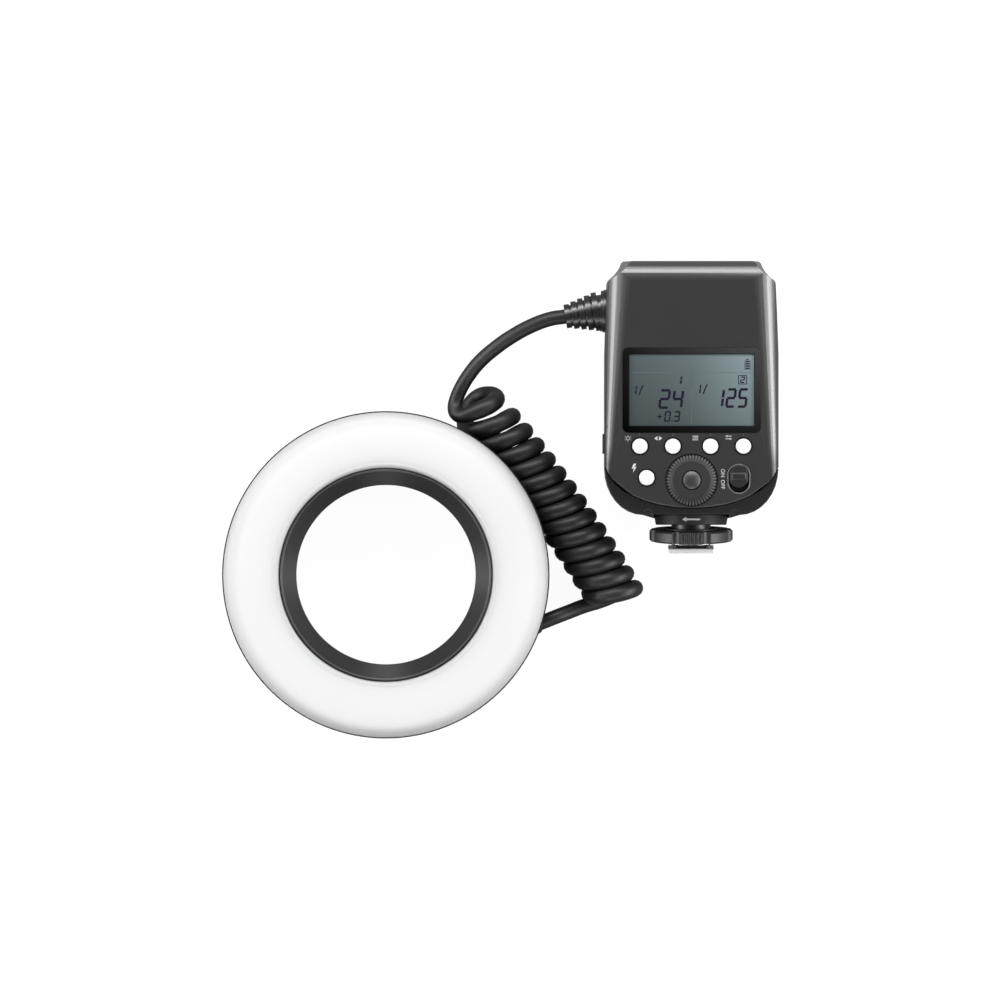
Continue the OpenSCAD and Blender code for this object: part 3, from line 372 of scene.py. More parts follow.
def frosted(name, colour):
    """The diffuser's frosted white, greyer where no reflector lies behind it, a painted shade."""
    finish = Finish(name)
    radius = finish.around(RING)[2] / RING_R
    cloud = finish.noise(30 * MM, 2)
    grain = finish.noise(0.6 * MM, 2)
    # Painted shade: the white falls to grey towards the inner and outer edges.
    stops = [(0.645, 0.6), (0.675, 0.82), (0.71, 0.92), (0.76, 0.97), (0.9, 1.0), (0.94, 0.88), (0.992, 0.62)]
    painted_shade = finish.ramp(radius, [(at, scaled(colour, level)) for at, level in stops])
    finish.set(
        base_color=finish.mix(cloud * 0.03, painted_shade, (0.8, 0.8, 0.8)),
        roughness=grain * 0.1 + 0.42,
        ior=1.35,
    )
    return finish.bump(grain, 0.004 * MM).material


def turned(name, colour):
    """Black plastic with turned lines round the ring's middle and four lighter sheens, which are painted
    highlights.
    """
    finish = Finish(name)
    x, y, radius = finish.around(RING)
    angle = finish.node("ShaderNodeMath", {"operation": "ARCTAN2"}, {0: y, 1: x})
    height = finish.axis("Z")
    place = finish.node("ShaderNodeCombineXYZ", {}, {0: radius * 900, 1: angle * 1.6, 2: height * 900})
    lines = finish.node("ShaderNodeTexNoise", {}, {"Vector": place, "Scale": 4.0, "Detail": 3.0})
    wave = finish.node("ShaderNodeMath", {"operation": "COSINE"}, {0: angle * 4})
    # Painted highlights: four sheens at the quarters, weaker on the left.
    painted_sheen = ((wave + 1) * 0.5) ** 5 * (x / radius * 0.2 + 0.8)
    finish.set(
        base_color=finish.mix(painted_sheen * 0.75 + lines * 0.3, scaled(colour, 0.7), scaled(colour, 4.2)),
        roughness=lines * 0.2 + 0.32,
    )
    return finish.bump(lines, 0.01 * MM).material


def glass_display(name, colour):
    """The display's grey-green sheet, lighter to the right and the top, which is painted light."""
    finish = Finish(name)
    share, rise = finish.across(-26, 52, 37, 30)
    cloud = finish.noise(16 * MM, 2)
    # Painted light: the sheet turns lighter to the right and the top.
    tone = share + cloud * 0.08 - 0.04
    levels = [(0.0, 0.66), (0.5, 1.0), (1.0, 2.0)]
    low = finish.ramp(tone, [(at, scaled(colour, level)) for at, level in levels])
    high = finish.ramp(tone, [(at, scaled(colour, 1.8 * level)) for at, level in levels])
    finish.set(base_color=finish.mix(rise, low, high), roughness=cloud * 0.06 + 0.22)
    return finish.material


def board(name, colour):
    """Coated circuit board."""
    finish = Finish(name)
    tracks = finish.noise(2.5 * MM, 0, (1, 0.2, 1))
    grain = finish.noise(0.8 * MM, 2)
    finish.set(
        base_color=finish.mix(tracks, scaled(colour, 0.7), scaled(colour, 1.6)), roughness=grain * 0.2 + 0.3
    )
    return finish.bump(tracks, 0.02 * MM).material


def clear_tube(name):
    """Flash tube glass with a milky bloom."""
    finish = Finish(name)
    bloom = finish.noise(4 * MM, 2)
    finish.set(base_color=finish.mix(bloom, (0.85, 0.87, 0.88), (0.95, 0.96, 0.97)), roughness=bloom * 0.1 + 0.05)
    return finish.material


FINISHES = {}


def mix_finishes():
    """Makes every finish once."""
    colours = bpy.context.scene.flash_colours
    panel, skirt = tuple(colours.panel), tuple(colours.skirt)
    FINISHES.update(
        panel=edged("panel_grey", panel),
        skirt=moulded("skirt_black", skirt, 0.38, 0.012, ior=1.5),
        housing=moulded("housing_black", skirt, 0.45, 0.02),
        dial=ridged("dial_grey", scaled(panel, 3.0)),
        knob=moulded("knob_grey", scaled(panel, 0.63), 0.36, 0.01, ior=1.6),
        wheel=moulded("wheel_grey", scaled(panel, 1.5), 0.5, 0.012, ior=1.5),
        collar=moulded("collar_grey", scaled(panel, 0.66), 0.55, 0.01, ior=1.35),
        gloss=glossed("gloss_black", (0.0003, 0.0003, 0.0003), (0.032, 0.032, 0.032)),
        key=capped("key_white", tuple(colours.key)),
        dome=moulded("dome_grey", (0.014, 0.014, 0.014), 0.38, 0.001, ior=1.6),
        rim=moulded("rim_grey", (0.05, 0.05, 0.05), 0.3, 0.003, ior=1.7),
        lamp=moulded("lamp_white", tuple(colours.key), 0.42, 0.004, 0.02),
        mark=moulded("mark_white", (0.32, 0.32, 0.32), 0.5, 0.003, 0.03),
        segment=moulded("segment_navy", (0.007, 0.006, 0.014), 0.35, 0.002, ior=1.2),
        line=moulded("line_grey", (0.06, 0.08, 0.085), 0.35, 0.002, ior=1.3),
        diffuser=frosted("diffuser_white", tuple(colours.diffuser)),
        turned=turned("bezel_turned", (0.0105, 0.0105, 0.0105)),
        display=glass_display("display_green", tuple(colours.display)),
        cord=rubber("cord_rubber", tuple(colours.cord), 0.47, 1.42),
        relief=rubber("relief_rubber", scaled(tuple(colours.cord), 0.6), 0.32, 1.7),
        plate=metal("plate_bright", (0.86, 0.86, 0.86), 0.3),
        foot=metal("foot_bright", (0.72, 0.72, 0.72), 0.4, 0.45),
        screw=metal("screw_steel", (0.4, 0.4, 0.41), 0.32),
        gilt=metal("contact_gilt", (0.83, 0.62, 0.28), 0.25),
        board=board("board_green", (0.03, 0.12, 0.06)),
        tube=clear_tube("tube_glass"),
    )


def copied(name, whole=True):
    """A CAD node's mesh with its doubles merged and, if wished, its flat faces made whole."""
    bm = bmesh.new()
    bm.from_mesh(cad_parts[name].data)
    bmesh.ops.remove_doubles(bm, verts=bm.verts[:], dist=0.002 * MM)
    if whole:
        bmesh.ops.dissolve_limit(bm, angle_limit=math.radians(0.6), verts=bm.verts[:], edges=bm.edges[:])
    return bm


def spun(points, middle, steps):
    """A shape turned from a profile of radius and height in millimetres."""
    bm = bmesh.new()
    verts = [bm.verts.new((r * MM, 0, z * MM)) for r, z in points]
    edges = [bm.edges.new(pair) for pair in zip(verts, verts[1:])]
    bmesh.ops.spin(
        bm, geom=verts + edges, cent=(0, 0, 0), axis=(0, 0, 1), angle=2 * math.pi, steps=steps, use_merge=True
    )
    bmesh.ops.remove_doubles(bm, verts=bm.verts[:], dist=0.001 * MM)
    bmesh.ops.recalc_face_normals(bm, faces=bm.faces[:])
    bmesh.ops.translate(bm, verts=bm.verts[:], vec=middle)
    return bm


def rounded(middle, rx, rz, start, end, count):
    """Points of a round corner in a profile."""
    angles = [math.radians(start + (end - start) * i / count) for i in range(count + 1)]
    return [(middle[0] + rx * math.cos(a), middle[1] + rz * math.sin(a)) for a in angles]


def finished(bm, name, body, finish, *nodes, smooth=38, edge=0.0):
    """Makes a piece of a bmesh, on a body and in place of CAD nodes."""
    mesh = bpy.data.meshes.new(name)
    bm.to_mesh(mesh)
    bm.free()
    if "custom_normal" in mesh.attributes:
        mesh.attributes.remove(mesh.attributes["custom_normal"])
    piece = bpy.data.objects.new(name, mesh)
    bpy.context.scene.collection.objects.link(piece)
    mesh.materials.clear()
    mesh.materials.append(FINISHES[finish])
    mesh.polygons.foreach_set("material_index", [0] * len(mesh.polygons))
    mesh.polygons.foreach_set("use_smooth", [True] * len(mesh.polygons))
    mesh.set_sharp_from_angle(angle=math.radians(smooth))
    if edge:
        bevel = piece.modifiers.new("edge", "BEVEL")
        bevel.width = edge
        bevel.segments = 2
        bevel.limit_method = "ANGLE"
        bevel.angle_limit = math.radians(smooth)
        bevel.harden_normals = True
    normals = piece.modifiers.new("normals", "WEIGHTED_NORMAL")
    normals.keep_sharp = True
    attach(piece, body)
    if nodes:
        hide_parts(*nodes)
    return piece


def dressed(node, finish, edge=None, smooth=38, body="flash"):
    """A CAD node's shape with rounded edges and a finish."""
    width = bpy.context.scene.flash_sizes.edge if edge is None else edge * MM
    return finished(copied(node), node + "_dressed", body, finish, node, smooth=smooth, edge=width)


def painted(finish, *nodes):
    """Gives CAD nodes that stay as they are a finish."""
    for name in nodes:
        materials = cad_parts[name].data.materials
        materials.clear()
        materials.append(FINISHES[finish])


def bar(bm, x, y, w, h, levels, turn=0.0):
    """A thin bar on the panel between two levels, in the unit's millimetres."""
    low, high = levels
    place = Matrix.Translation(UNIT + Vector((x, y, (low + high) / 2)) * MM)
    size = Matrix.Diagonal((w * MM, h * MM, (high - low) * MM, 1))
    bmesh.ops.create_cube(bm, size=1, matrix=place @ Matrix.Rotation(math.radians(turn), 4, "Z") @ size)


def ring_mark(bm, x, y, r0, r1):
    """A flat ring on the panel."""
    verts = [bm.verts.new((r * MM, 0, 0)) for r in (r0, r1)]
    line = [bm.edges.new(verts)]
    bmesh.ops.spin(
        bm, geom=verts + line, cent=(0, 0, 0), axis=(0, 0, 1), angle=2 * math.pi, steps=28, use_merge=True
    )
    ring = {v for v in bm.verts if v.is_valid and v.co.length < 1.5 * r1 * MM}
    bmesh.ops.translate(bm, verts=list(ring), vec=UNIT + Vector((x, y, SIGN_TOP)) * MM)


def flat_mark(bm, points):
    """A flat shape on the panel from a few corners."""
    bm.faces.new([bm.verts.new(UNIT + Vector((x, y, SIGN_TOP)) * MM) for x, y in points])


STROKES = {"0": "abcdef", "1": "bc", "2": "abged", "3": "abgcd", "4": "fgbc", "5": "afgcd"}


def digits(bm, text, x, y, w, h, thick, step):
    """A number in seven-stroke figures, slightly slanted, its first figure at x."""
    first = len(bm.verts)
    for i, sign in enumerate(text):
        cx = x + i * step
        for stroke in STROKES[sign]:
            if stroke in "agd":
                level = {"a": 1, "g": 0, "d": -1}[stroke]
                bar(bm, cx, y + level * (h - thick) / 2, w - thick, thick, FIGURES)
            else:
                side = 1 if stroke in "bc" else -1
                level = 1 if stroke in "bf" else -1
                across, along = side * (w - thick) / 2, level * (h - thick) / 4
                bar(bm, cx + across, y + along, thick, h / 2 - thick, FIGURES)
    bm.verts.ensure_lookup_table()
    base = UNIT + Vector((x, y, 0)) * MM
    shear = Matrix(((1, 0.13, 0, 0), (0, 1, 0, 0), (0, 0, 1, 0), (0, 0, 0, 1)))
    slant = Matrix.Translation(base) @ shear @ Matrix.Translation(-base)
    bmesh.ops.transform(bm, matrix=slant, verts=bm.verts[first:])


def curl_middle(turn):
    """The middle of the cord at a turn of the coil, as in the part's source, in millimetres."""
    pitch, first_pitch, settle = 6.95, 8.8, 2.5
    s = pitch * turn + (first_pitch - pitch) * settle * (1 - math.exp(-turn / settle))
    s -= 5.5 * math.exp(-(((turn - 0.2) / 0.2) ** 2))
    a, b, c = Vector((-8.2, 36.3, 0)), Vector((22.6, 1.7, 0)), Vector((46.8, -38.7, 0))
    lift = Vector((0, 0, COIL_R + CORD_R + 0.3))

    def at(d):
        u = d / 95
        return (1 - u) ** 2 * a + 2 * u * (1 - u) * b + u * u * c + lift

    along = (at(s + 0.5) - at(s - 0.5)).normalized()
    side = Vector((0, 0, 1)).cross(along).normalized()
    up = along.cross(side)
    q = math.radians(90 + 360 * turn)
    return at(s) + COIL_R * (math.cos(q) * (up + 0.2 * along) + math.sin(q) * (side + 0.23 * along))


def curl_heading(turn):
    """The cord's direction at a turn of the coil."""
    return (curl_middle(turn + 0.01) - curl_middle(turn - 0.01)).normalized()


def cord_route():
    """The points of the cord's lead, coil and tail, from the control unit to the ring, in metres."""
    first, last, straight = -0.25, 13.25, 6.2
    lean, tilt, turn = math.radians(1.765), math.radians(9.035), math.radians(201.8)
    leave = Vector((-math.cos(tilt), -math.sin(tilt), 0))
    enter = Vector((math.cos(turn), math.sin(turn), 0))
    start = Vector((43.067, 76.95, 31)) + 2.2 * Vector((-math.cos(lean), math.sin(lean), 0)) + 14.5 * leave
    wall = Vector((-46.55, -30.5, 7)) + 58.3 * Vector((math.cos(math.radians(24)), -math.sin(math.radians(24)), 0))
    end = wall - 10 * enter
    lead = [
        (12.2, 70.7, 29.4), (4.1, 66.2, 27), (-2, 61.9, 24.4), (-8.1, 56.6, 21), (-12.2, 51.7, 18.4),
        (-15.6, 46.3, 16.6), (-17.8, 41.2, 16), (-18.5, 38, 16.6), (-18, 35.6, 18), (-16.6, 34.4, 19.3),
    ]
    tail = [(34.5, -43.3, 3.2), (28.5, -45.6, 4.6)]
    count = round((last - first) * 16)
    coil = [curl_middle(first + (last - first) * i / count) for i in range(count + 1)]
    lead = [start, start + straight * leave] + lead + [coil[0] - straight * curl_heading(first)]
    tail = [coil[-1] + straight * curl_heading(last)] + tail + [end - straight * enter, end]
    return [[Vector(p) * MM for p in part] for part in (lead, coil, tail)]


class RINGFLASH_OT_stage(bpy.types.Operator):
    """Sets up the camera, the floor and the light"""

    bl_idname = "ringflash.stage"
    bl_label = "Stage"

    def execute(self, context):
        sizes = context.scene.flash_sizes
        scene = context.scene
        scene.view_settings.view_transform = "Standard"
        lens = bpy.data.cameras.new("camera")
        camera = bpy.data.objects.new("camera", lens)
        camera.location = (0, 0, sizes.camera_height)
        lens.lens = lens.sensor_width * (sizes.camera_height - 0.04) / sizes.picture_width
        lens.clip_end = 20
        scene.collection.objects.link(camera)
        scene.camera = camera

        bm = bmesh.new()
        bmesh.ops.create_grid(bm, x_segments=1, y_segments=1, size=4)
        bmesh.ops.translate(bm, verts=bm.verts[:], vec=(0, 0, -0.0004))
        mesh = bpy.data.meshes.new("floor")
        bm.to_mesh(mesh)
        bm.free()
        floor = bpy.data.objects.new("floor", mesh)
        scene.collection.objects.link(floor)
        mesh.materials.append(self.pale_floor())

        for name, place, width, length, power in (
            ("far_softbox", (0.0, 0.98, 0.77), 1.6, 0.35, 19.0),
            ("near_softbox", (0.0, -1.0, 0.75), 1.2, 0.3, 6.0),
            ("left_softbox", (-1.13, 0.05, 0.53), 1.6, 0.42, 22.0),
            ("right_softbox", (1.13, 0.05, 0.53), 1.6, 0.42, 25.0),
            ("left_fill", (-0.86, 0.05, 0.92), 1.6, 0.4, 2.0),
            ("right_fill", (0.86, 0.05, 0.92), 1.6, 0.4, 2.5),
            ("far_fill", (0.0, 0.8, 0.96), 1.6, 0.35, 3.0),
        ):
            light = bpy.data.lights.new(name, "AREA")
            light.shape = "RECTANGLE"
            light.size = width
            light.size_y = length
            light.energy = power
            lamp = bpy.data.objects.new(name, light)
            lamp.location = place
            aim = Vector((0, 0, 0.03)) - Vector(place)
            lamp.rotation_euler = aim.to_track_quat("-Z", "Y").to_euler()
            scene.collection.objects.link(lamp)
        self.pale_sky(scene)
        return {"FINISHED"}

    def pale_floor(self):
        """A white floor that the camera sees bright, with the object's shadow kept."""
        finish = Finish("floor_white")
        cloud = finish.noise(0.6, 2)
        finish.set(base_color=finish.mix(cloud, (0.9, 0.9, 0.9), (0.93, 0.93, 0.93)), roughness=0.9)
        camera, through, mirrored = (
            finish.node("ShaderNodeLightPath", {}, {}, "Is " + ray + " Ray")
            for ray in ("Camera", "Transmission", "Glossy")
        )
        bright, dim = (
            finish.node("ShaderNodeEmission", {}, {"Color": (1.0, 1.0, 1.0), "Strength": strength})
            for strength in (1.05, 0.12)
        )
        lit = Field(finish, finish.shader.outputs[0])
        seen = finish.node("ShaderNodeMixShader", {}, {0: (camera + through) * 0.9, 1: lit, 2: bright})
        seen = finish.node("ShaderNodeMixShader", {}, {0: mirrored * 0.85, 1: seen, 2: dim})
        finish.plug(finish.tree.nodes["Material Output"].inputs["Surface"], seen)
        return finish.material

    def pale_sky(self, scene):
        """A grey light all round that the camera sees as white."""
        world = bpy.data.worlds.new("sky")
        scene.world = world
        world.use_nodes = True
        tree = world.node_tree
        tree.nodes.clear()
        rays = tree.nodes.new("ShaderNodeLightPath")
        dim = tree.nodes.new("ShaderNodeBackground")
        dim.inputs["Color"].default_value = (0.97, 0.985, 1.0, 1)
        dim.inputs["Strength"].default_value = 0.18
        white = tree.nodes.new("ShaderNodeBackground")
        white.inputs["Color"].default_value = (1, 1, 1, 1)
        mixed = tree.nodes.new("ShaderNodeMixShader")
        out = tree.nodes.new("ShaderNodeOutputWorld")
        tree.links.new(rays.outputs["Is Camera Ray"], mixed.inputs[0])
        tree.links.new(dim.outputs[0], mixed.inputs[1])
        tree.links.new(white.outputs[0], mixed.inputs[2])
        tree.links.new(mixed.outputs[0], out.inputs["Surface"])


class RINGFLASH_OT_cord(bpy.types.Operator):
    """Lays the curly cord from the control unit to the ring"""

    bl_idname = "ringflash.cord"
    bl_label = "Curly cord"

    def execute(self, context):
        thickness = context.scene.flash_sizes.cord_diameter
        lead, coil, tail = cord_route()
        route = lead + coil + tail
        lead_scale, coil_scale, tail_scale, first_swell, swell_points = 0.96, 1.085, 0.97, 0.075, 110
        swell = [coil_scale + first_swell * max(0.0, 1 - i / swell_points) for i in range(len(coil))]
        radii = [lead_scale] * len(lead) + swell + [tail_scale] * len(tail)
        curve = bpy.data.curves.new("cord", "CURVE")
        curve.dimensions = "3D"
        curve.resolution_u = 4
        curve.bevel_depth = thickness / 2
        curve.bevel_resolution = 5
        curve.use_fill_caps = True
        line = curve.splines.new("BEZIER")
        line.bezier_points.add(len(route) - 1)
        for point, place, radius in zip(line.bezier_points, route, radii):
            place.z = max(place.z, thickness / 2 * radius)
            point.co = place
            point.radius = radius
            point.handle_left_type = point.handle_right_type = "AUTO"
        curve.materials.append(FINISHES["cord"])
        cord = bpy.data.objects.new("curly_cord", curve)
        context.scene.collection.objects.link(cord)
        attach(cord, "flash")
        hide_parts("cord_lead", "cord_coil", "cord_tail")
        length = sum((b - a).length for a, b in zip(route, route[1:]))
        for name in ("strain_relief", "ring_gland"):
            dressed(name, "relief", 0.5)
        return {"FINISHED"}


class RINGFLASH_OT_lamp_head(bpy.types.Operator):
    """Finishes the ring: diffuser, inner bezel, housing and release sliders"""

    bl_idname = "ringflash.lamp_head"
    bl_label = "Lamp head"

    def execute(self, context):
        front = [(66.25, 27.8)] + rounded((61.25, 29.6), 5, 5, 0, 90, 14)
        front += [(59.2, 34.86), (57, 34.96), (54.8, 35), (50, 34.94), (46.6, 34.7)]
        front += rounded((45.3, 32.4), 1.95, 2.1, 70, 180, 8) + [(43.35, 27.2)]
        back = [(45.2, 27.2), (45.2, 32), (57, 33), (61, 32.4), (64.3, 29.4), (64.3, 27.8), (66.25, 27.8)]
        finished(spun(front + back, RING, 128), "diffuser_shell", "flash", "diffuser", "diffuser", smooth=50)

        cone = [(36.6, 10.9), (36.6, 25.2), (36.75, 25.6), (42.1, 33.9), (42.45, 34.15), (42.8, 34.2)]
        cone += [(43.0, 34.1), (43.1, 33.8), (43.1, 32.6), (38.6, 24.4), (38.6, 12.9), (55.3, 12.9)]
        cone += [(55.3, 10.9), (36.6, 10.9)]
        finished(spun(cone, RING, 128), "bezel_cone", "flash", "turned", "inner_bezel", smooth=50)

        dressed("ring_housing", "housing", 0.3)
        dressed("lens_mount_ring", "housing", 0.3)
        for slider in ("release_slider_left", "release_slider_right"):
            dressed(slider, "panel", 0.3, body=slider)
        return {"FINISHED"}


class RINGFLASH_OT_body(bpy.types.Operator):
    """Finishes the control unit's covers, skirt and side pieces"""

    bl_idname = "ringflash.body"
    bl_label = "Body"

    def execute(self, context):
        bm = copied("rear_cover")
        self.ease_edges(bm)
        self.round_lower_edge(bm)
        edge = context.scene.flash_sizes.edge
        finished(bm, "rear_cover_dressed", "flash", "panel", "rear_cover", smooth=30, edge=edge)
        dressed("front_cover", "panel", smooth=30)
        dressed("base_skirt", "skirt", 0.4, smooth=30)
        dressed("port_cover", "skirt", 0.25, body="port_cover")
        dressed("battery_pack", "skirt", body="battery_pack")
        dressed("battery_catch", "knob", 0.15, body="battery_catch")
        return {"FINISHED"}

    def ease_edges(self, bm):
        """Makes the round side edges of the cover wide at the top and narrow towards the foot."""
        round_low, round_width, frame_inset, frame_low, frame_high = 45.9, 8.1, 6.5, 34, 71
        foot_end, length = 20, 84.7
        for vert in bm.verts:
            x, y, z = (vert.co - UNIT) / MM
            inset = UNIT_HALF - abs(x)
            beside_display = inset > frame_inset and frame_low < y < frame_high
            if z > round_low and inset < round_width and not beside_display:
                rise = max(0.0, y - foot_end) / length
                side = UNIT_HALF - inset * (0.48 + 0.92 * rise if x > 0 else 0.35 + 1.15 * rise)
                vert.co.x = UNIT.x + math.copysign(side, x) * MM
                if y < LOW_EDGE_LIMIT:
                    vert.co.y += (self.lower_edge(side) - self.lower_edge(abs(x))) * MM

    def round_lower_edge(self, bm):
        """Rounds the panel's lower edge, over the skirt, less where the dial comes near."""
        limit = UNIT.y + LOW_EDGE_LIMIT * MM
        for level in LOW_EDGE_CUTS:
            faces = [f for f in bm.faces if all(v.co.y < limit for v in f.verts)]
            edges = list({e for f in faces for e in f.edges})
            verts = list({v for f in faces for v in f.verts})
            bmesh.ops.bisect_plane(
                bm, geom=verts + edges + faces, plane_co=(0, 0, level * MM), plane_no=(0, 0, 1)
            )
        for vert in bm.verts:
            x, y, z = (vert.co - UNIT) / MM
            if LOW_EDGE - 0.01 < z < 52.01 and abs(x) < 34 and abs(y - self.lower_edge(abs(x))) < 0.15:
                radius = min(LOW_EDGE_DEPTH, 0.25 + 0.09 * abs(x))
                rise = (z - LOW_EDGE) / LOW_EDGE_DEPTH
                vert.co.y += radius * (1 - math.sqrt(max(0.0, 1 - rise * rise))) * MM

    def lower_edge(self, x):
        """Height of the panel's round lower edge at a distance from its middle."""
        highest, middle, height, half = 20.5, 22.9, 18.7, 35
        return min(highest, middle - height * math.sqrt(max(0.0, 1 - (x / half) ** 2)))


class RINGFLASH_OT_display(bpy.types.Operator):
    """Finishes the display with its frame, lines and generic numbers"""

    bl_idname = "ringflash.display"
    bl_label = "Display"

    def execute(self, context):
        dressed("display_bezel", "gloss", 0.12)
        dressed("display_module", "display", 0.1)
        bm = bmesh.new()
        bar(bm, 0, 59.2, 48.4, 0.2, FIGURES)
        bar(bm, 0, 48.6, 0.2, 21, FIGURES)
        finished(bm, "display_lines", "flash", "line")
        bm = bmesh.new()
        for text, x, y, w, h, thick, step in (
            ("24", -11.0, 48.5, 4.4, 8.0, 1.0, 5.4),
            ("125", 11.2, 48.9, 4.0, 8.0, 1.0, 4.8),
            ("1", -23.2, 52.2, 1.8, 4.2, 0.6, 0),
            ("1", 2.9, 52.6, 1.8, 4.2, 0.6, 0),
            ("0", -9.8, 41.4, 2.5, 4.4, 0.6, 0),
            ("3", -6.0, 41.4, 2.5, 4.4, 0.6, 0),
            ("1", -5.2, 56.2, 2.6, 4.0, 0.75, 0),
            ("2", 20.7, 56.3, 1.9, 2.6, 0.45, 0),
        ):
            digits(bm, text, x, y, w, h, thick, step)
        for x, y in ((-20.6, 52.2), (5.5, 52.6)):
            bar(bm, x, y, 0.5, 4.4, FIGURES, -22)
        plus_and_point = ((-13, 41.4, 1.9, 0.42), (-13, 41.4, 0.42, 1.9), (-8.0, 39.6, 0.5, 0.5))
        box = ((20.7, 58, 3.6, 0.3), (20.7, 54.6, 3.6, 0.3), (19.05, 56.3, 0.3, 3.4), (22.35, 56.3, 0.3, 3.4))
        battery = [(22.7, 60.9 + 0.95 * k, 1.5, 0.6) for k in range(4)]
        battery += [(22.7 + side * 1.05, 62.3, 0.2, 3.9) for side in (-1, 1)] + [(22.7, 64.6, 0.9, 0.45)]
        for x, y, w, h in (*plus_and_point, *box, *battery):
            bar(bm, x, y, w, h, FIGURES)
        finished(bm, "display_figures", "flash", "segment")
        return {"FINISHED"}


class RINGFLASH_OT_keys(bpy.types.Operator):
    """Makes the white keys and the plain signs beside them"""

    bl_idname = "ringflash.keys"
    bl_label = "Keys"

    def execute(self, context):
        for name, (x, y) in KEYS.items():
            step, turn = KEY_LOW + 0.95, KEY_TOP - 0.5
            shape = [(0, KEY_LOW), (4.06, KEY_LOW), (4.06, step), (3.1, step), (3.1, turn)]
            shape += rounded((2.6, turn), 0.5, 0.45, 0, 90, 6) + [(1.4, KEY_TOP - 0.02), (0, KEY_TOP)]
            finished(spun(shape, UNIT + Vector((x, y, 0)) * MM, 64), name + "_cap", name, "key", name)
        bm = bmesh.new()
        sun, arrows = -25.9, -13.6
        ring_mark(bm, sun, SIGN_Y, 0.6, 0.78)
        for turn in range(30, 360, 60):
            a = math.radians(turn)
            bar(bm, sun + 1.2 * math.cos(a), SIGN_Y + 1.2 * math.sin(a), 0.4, 0.14, SIGNS, turn)
        for side in (-1, 1):
            tip, back = arrows + side * 1.6, arrows + side * 0.3
            flat_mark(bm, [(tip, SIGN_Y), (back, 33.4), (back, 31.6)][::-side])
        lines = [(1.5, 31.9 + 0.75 * k, 2.3, 0.28) for k in range(3)]
        sliders = [(15, 33.4, 2.6, 0.25), (15, 32.3, 2.6, 0.25), (14.4, 33.4, 0.35, 0.9), (15.6, 32.3, 0.35, 0.9)]
        for x, y, w, h in lines + sliders:
            bar(bm, x, y, w, h, SIGNS)
        flat_mark(bm, BOLT)
        finished(bm, "panel_signs", "flash", "mark")
        bm = bmesh.new()
        for x, y in list(KEYS.values())[:4]:
            bar(bm, x, y + 4.7, 0.22, 1.1, SIGNS)
        finished(bm, "key_ticks", "flash", "rim")
        for words, x, y in (("ON", 12.6, 18.4), ("OFF", 12.6, 13.8)):
            self.lettering(context, words, x, y)
        return {"FINISHED"}

    def lettering(self, context, words, x, y):
        """A plain word beside the switch, made a mesh."""
        letters = bpy.data.curves.new("letters", "FONT")
        letters.body = words
        letters.size = 2.2 * MM
        letters.align_x = "CENTER"
        letters.align_y = "CENTER"
        stand_in = bpy.data.objects.new("letters", letters)
        bm = bmesh.new()
        bm.from_mesh(stand_in.to_mesh())
        bpy.data.objects.remove(stand_in)
        place = Matrix.Translation(UNIT + Vector((x, y, SIGN_TOP)) * MM)
        bmesh.ops.transform(bm, verts=bm.verts[:], matrix=place @ Matrix.Rotation(-math.pi / 2, 4, "Z"))
        finished(bm, "switch_word_" + words.lower(), "flash", "mark")


class RINGFLASH_OT_dial(bpy.types.Operator):
    """Finishes the ridged dial and its domed key"""

    bl_idname = "ringflash.dial"
    bl_label = "Dial"

    def execute(self, context):
        bm = copied("control_dial", whole=False)
        self.slope_ridges(bm)
        finished(bm, "control_dial_dressed", "control_dial", "dial", "control_dial", edge=0.1 * MM)
        shape = [(0, KEY_LOW), (3.73, KEY_LOW), (3.73, 52.2)] + rounded((0, 45.6), 7.8, 7.795, 61.5, 90, 10)
        finished(spun(shape, DIAL, 72), "set_key_dome", "set_key", "dome", "set_key", smooth=60)
        return {"FINISHED"}

    def slope_ridges(self, bm):
        """Lets the dial's ridges grow out of its flat middle and slope down to the rim."""
        face, ridge_low, groove_depth = 52.8, 53.2, 0.5
        for vert in bm.verts:
            x, y, z = (vert.co - DIAL) / MM
            outwards = min(1.0, (math.hypot(x, y) - DIAL_FLAT_R) / DIAL_SLOPE)
            if z > face and outwards > 0:
                groove = 0.0 if z > ridge_low else groove_depth * math.sqrt(outwards)
                vert.co.z = (DIAL_TOP - DIAL_FALL * outwards - groove) * MM
        bmesh.ops.remove_doubles(bm, verts=bm.verts[:], dist=0.03 * MM)


class RINGFLASH_OT_power_switch(bpy.types.Operator):
    """Finishes the slide switch and lays a light grey rim round its slot, a painted highlight"""

    bl_idname = "ringflash.power_switch"
    bl_label = "Power switch"

    def execute(self, context):
        dressed("power_switch", "knob", 0.25, body="power_switch")
        # The light grey rim round the slot is a painted highlight on the slot's edge.
        bm = bmesh.new()
        bmesh.ops.create_circle(bm, segments=48, radius=4.65 * MM, cap_ends=True)
        for vert in bm.verts:
            vert.co.y += math.copysign(1.5 * MM, vert.co.y)
        middle = bm.faces[:]
        bmesh.ops.inset_region(bm, faces=middle, thickness=0.5 * MM, use_boundary=True)
        bmesh.ops.delete(bm, geom=middle, context="FACES_ONLY")
        bmesh.ops.translate(bm, verts=bm.verts[:], vec=UNIT + Vector((19.2, 16, 52.02)) * MM)
        rim = finished(bm, "switch_rim", "flash", "rim")
        wall = rim.modifiers.new("wall", "SOLIDIFY")
        wall.thickness = 0.1 * MM
        wall.offset = 1
        return {"FINISHED"}


